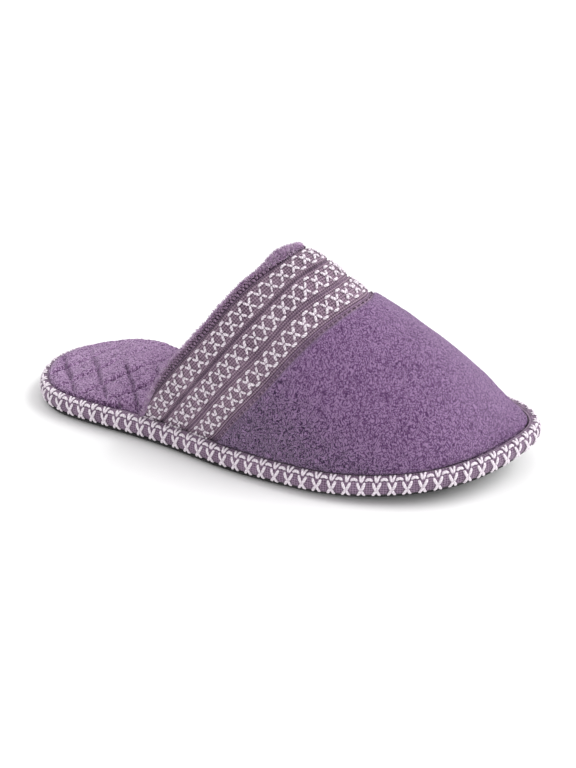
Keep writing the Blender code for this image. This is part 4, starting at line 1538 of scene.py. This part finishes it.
def makeInsole():
    look = insoleLook
    covered = underVamp(outline[:, 0])
    inset = look["openInset"] * (1.0 - covered) + look["coveredInset"] * covered
    along, across, away = soleGrid(look["rows"], look["columns"], inset)
    covered = underVamp(along, look["vampSlant"] * smoothStep(across / look["slantWidth"]))
    thin = 1.0 - look["thinning"] * smoothStep((along / shoe["length"] - look["thinStart"]) / look["thinSpread"])
    base = look["foot"] + look["openLift"] * (1.0 - covered) + toeLift(along)
    crown = smoothTable(crownRows, np.clip(away - look["coveredRim"] * covered, 0.0, 0.1))
    edge = look["edgeHeight"] * roundedEdge(away, look["edgeRound"])
    crown = np.where(covered > 0.5, crown, np.maximum(crown, edge))
    flat = np.stack([along, across, base], axis=-1)
    pile = pileField(flat, look["pileSize"], seed=55.0)
    channel = quilting(along + look["wander"] * noiseAt(flat, look["wanderSize"], seed=2.0),
                       across + look["wander"] * noiseAt(flat, look["wanderSize"], seed=7.0))
    patches = smoothStep(0.5 + noiseAt(flat, look["patchSize"], seed=61.0))
    fade = look["patchLeast"] + (1.0 - look["patchLeast"]) * patches
    fade = fade * (1.0 - look["innerFade"] * smoothStep((across + look["innerStart"]) / look["innerSpread"]))
    inner = smoothStep(away / look["innerEdge"])
    fromHeel = smoothStep((along - look["heelStart"]) / look["heelSpread"])
    up = look["rise"] * crown * thin * (look["heelShare"] + (1.0 - look["heelShare"]) * fromHeel)
    swell = look["swell"] * hump(along, look["swellAlong"], look["swellWidth"])
    up += swell * smoothStep(across / look["swellAcross"]) * crown
    up += thin * inner * (look["puff"] - look["channelDepth"] * channel * fade)
    uneven = look["unevenness"] * noiseAt(flat, look["unevenSize"], seed=13.0)
    strength = look["pileAtEdge"] + (1.0 - look["pileAtEdge"]) * inner
    up += look["pileHeight"] * (pile - 0.5) * strength + uneven * inner
    grid = np.stack([along, across, base + up], axis=-1)
    lowAlong, lowAcross = along[::underStep, ::underStep], across[::underStep, ::underStep]
    pull, (halfLength, halfWidth) = look["underPull"], look["underHalves"]
    low = np.stack([lowAlong + (shoe["length"] / 2 - lowAlong) * pull / halfLength,
                    lowAcross * (1.0 - pull / halfWidth), shoe["bindingFoot"] + toeLift(lowAlong)], axis=-1)
    made = addMesh("insolePad", *closedShell(grid, low), insoleTerry, ("insole",), "insole_terry")
    patchy = look["creaseMean"] + (1.0 - look["creaseMean"]) * noiseAt(flat, look["creasePatch"], seed=90.0)
    # painted shade: darker in the sewn quilting channels, which are sunk into the pad
    channelShade = look["channelTone"] * channel**2 * fade * inner
    tone = look["plainTone"] + look["pileTone"] * pile - channelShade
    # painted shade: a patchy dark line in the crease where the pad meets the edge tape
    tone = tone - look["creaseShade"] * (hump(away, 0.0, look["creaseWidth"]) * patchy)
    addValues(made, "crumble", np.full(len(made.data.vertices), look["crumble"]))
    addValues(made, "pile", withUnder(np.clip(tone, *look["toneRange"]), low))


makeInsole()

rubberLook = {
    "colour": (0.018, 0.017, 0.019, 1.0),
    "worn": (0.045, 0.043, 0.046, 1.0),
    "wornRange": (0.4, 0.7),  # of the slow patches
    "grainRange": (0.3, 0.7),
    "roughness": (0.6, 0.85),
    "grainSize": 0.0006,
    "patchSize": 0.02,
    "bump": 0.0001,
    "rows": 312,
    "columns": 84,
    "heelInset": 0.0008,
    "toeInset": 0.0021,
    "toeStart": 0.42,  # shares of the length
    "toeSpread": 0.30,
    "top": 0.0026,
    "bevel": 0.0012,
    "bevelWidth": 0.0030,
    "rim": 0.0045,
    "rimFade": 0.0012,
    "treadDepth": 0.0009,
    "ribPitch": 0.0038,
    "ribSharpness": 1.4,
    "waveDepth": 0.0016,
    "waveLength": 0.017,
}


def makeRubberMaterial():
    material, tree, shader = startMaterial("blackRubber", Roughness=0.7, Specular_IOR_Level=0.4)
    fuzz = useGroup(tree, lintGroup, {"Vector": objectMap(tree), "Grain Size": rubberLook["grainSize"],
                                      "Patch Size": rubberLook["patchSize"]})
    worn = addRange(tree, fuzz["Patches"], *rubberLook["wornRange"])
    connect(tree, shader.inputs["Base Color"], addMix(tree, worn, rubberLook["colour"], rubberLook["worn"]))
    rough = addRange(tree, fuzz["Grain"], *rubberLook["grainRange"], *rubberLook["roughness"])
    connect(tree, shader.inputs["Roughness"], rough)
    addBump(tree, shader, fuzz["Grain"], rubberLook["bump"])
    return material


blackRubber = makeRubberMaterial()


def makeOutsole():  # the rubber sheet, with wavy ribs across its underside inside a plain rim
    look = rubberLook
    toToe = smoothStep((outline[:, 0] / shoe["length"] - look["toeStart"]) / look["toeSpread"])
    inset = look["heelInset"] * (1.0 - toToe) + look["toeInset"] * toToe
    along, across, away = soleGrid(look["rows"], look["columns"], inset)
    wave = along + look["waveDepth"] * np.sin(2.0 * np.pi * across / look["waveLength"])
    rib = smoothStep(0.5 + look["ribSharpness"] * np.cos(2.0 * np.pi * wave / look["ribPitch"]))
    inside = smoothStep((away - look["rim"]) / look["rimFade"])
    bevel = look["bevel"] * (1.0 - smoothStep(away / look["bevelWidth"]))
    tread = look["treadDepth"] * (1.0 - rib) * inside
    under = np.stack([along, across, tread + bevel + toeLift(along)], axis=-1)
    top = np.stack([along, across, look["top"] + toeLift(along)], axis=-1)[::underStep, ::underStep]
    addMesh("outsoleRubber", *closedShell(under[:, ::-1], top[:, ::-1]), blackRubber, ("outsole",), "rubber")


makeOutsole()

studio = {
    "floorColour": (0.97, 0.97, 0.97, 1.0),
    "floorHalf": 4.0,
    "horizonStrength": 0.51,
    "overheadStrength": 1.02,
    "overheadFrom": 0.9,
    "keyStrength": 2.12,
    "keySpread": 40.0,
    "keyFrom": (0.66, 0.31, 0.68),
    "cameraPlace": (0.21237, -0.56555, 0.38968),
    "cameraAzimuth": 20.0,
    "cameraElevation": 31.0,
    "lens": 65.625,
    "sensor": 36.0,
}


def makeStudio():  # the floor, the lights and the camera
    mesh = bpy.data.meshes.new("floor")
    half = studio["floorHalf"]
    corners = [(-half, -half, 0.0), (half, -half, 0.0), (half, half, 0.0), (-half, half, 0.0)]
    mesh.from_pydata(corners, [], [(0, 1, 2, 3)])
    material, _, shader = startMaterial("paleFloor", Roughness=0.9, Specular_IOR_Level=0.1)
    shader.inputs["Base Color"].default_value = studio["floorColour"]
    mesh.materials.append(material)
    floor = bpy.data.objects.new("floor", mesh)
    bpy.context.scene.collection.objects.link(floor)

    world = bpy.data.worlds.new("softWhite")
    world.use_nodes = True
    tree = world.node_tree
    background = tree.nodes["Background"]
    background.inputs["Color"].default_value = (1.0, 1.0, 1.0, 1.0)
    coordinates = tree.nodes.new("ShaderNodeTexCoord").outputs["Generated"]
    direction = addNode(tree, "ShaderNodeSeparateXYZ", {0: coordinates})
    strength = addRange(tree, direction.outputs["Z"], 0.0, studio["overheadFrom"],
                        studio["horizonStrength"], studio["overheadStrength"])
    connect(tree, background.inputs["Strength"], strength)
    bpy.context.scene.world = world

    light = bpy.data.lights.new("keyLight", "SUN")
    light.energy = studio["keyStrength"]
    light.angle = math.radians(studio["keySpread"])
    lamp = bpy.data.objects.new("keyLight", light)
    lamp.rotation_euler = Vector(studio["keyFrom"]).to_track_quat("Z", "Y").to_euler()
    bpy.context.scene.collection.objects.link(lamp)

    azimuth, elevation = math.radians(studio["cameraAzimuth"]), math.radians(studio["cameraElevation"])
    back = Vector((math.sin(azimuth) * math.cos(elevation), -math.cos(azimuth) * math.cos(elevation),
                   math.sin(elevation)))
    lens = bpy.data.cameras.new("photoCamera")
    lens.lens = studio["lens"]
    lens.sensor_width = studio["sensor"]
    camera = bpy.data.objects.new("photoCamera", lens)
    camera.location = studio["cameraPlace"]
    camera.rotation_euler = back.to_track_quat("Z", "Y").to_euler()
    bpy.context.scene.collection.objects.link(camera)
    bpy.context.scene.camera = camera
    bpy.context.scene.view_settings.view_transform = "Standard"


makeStudio()
print("studio set")
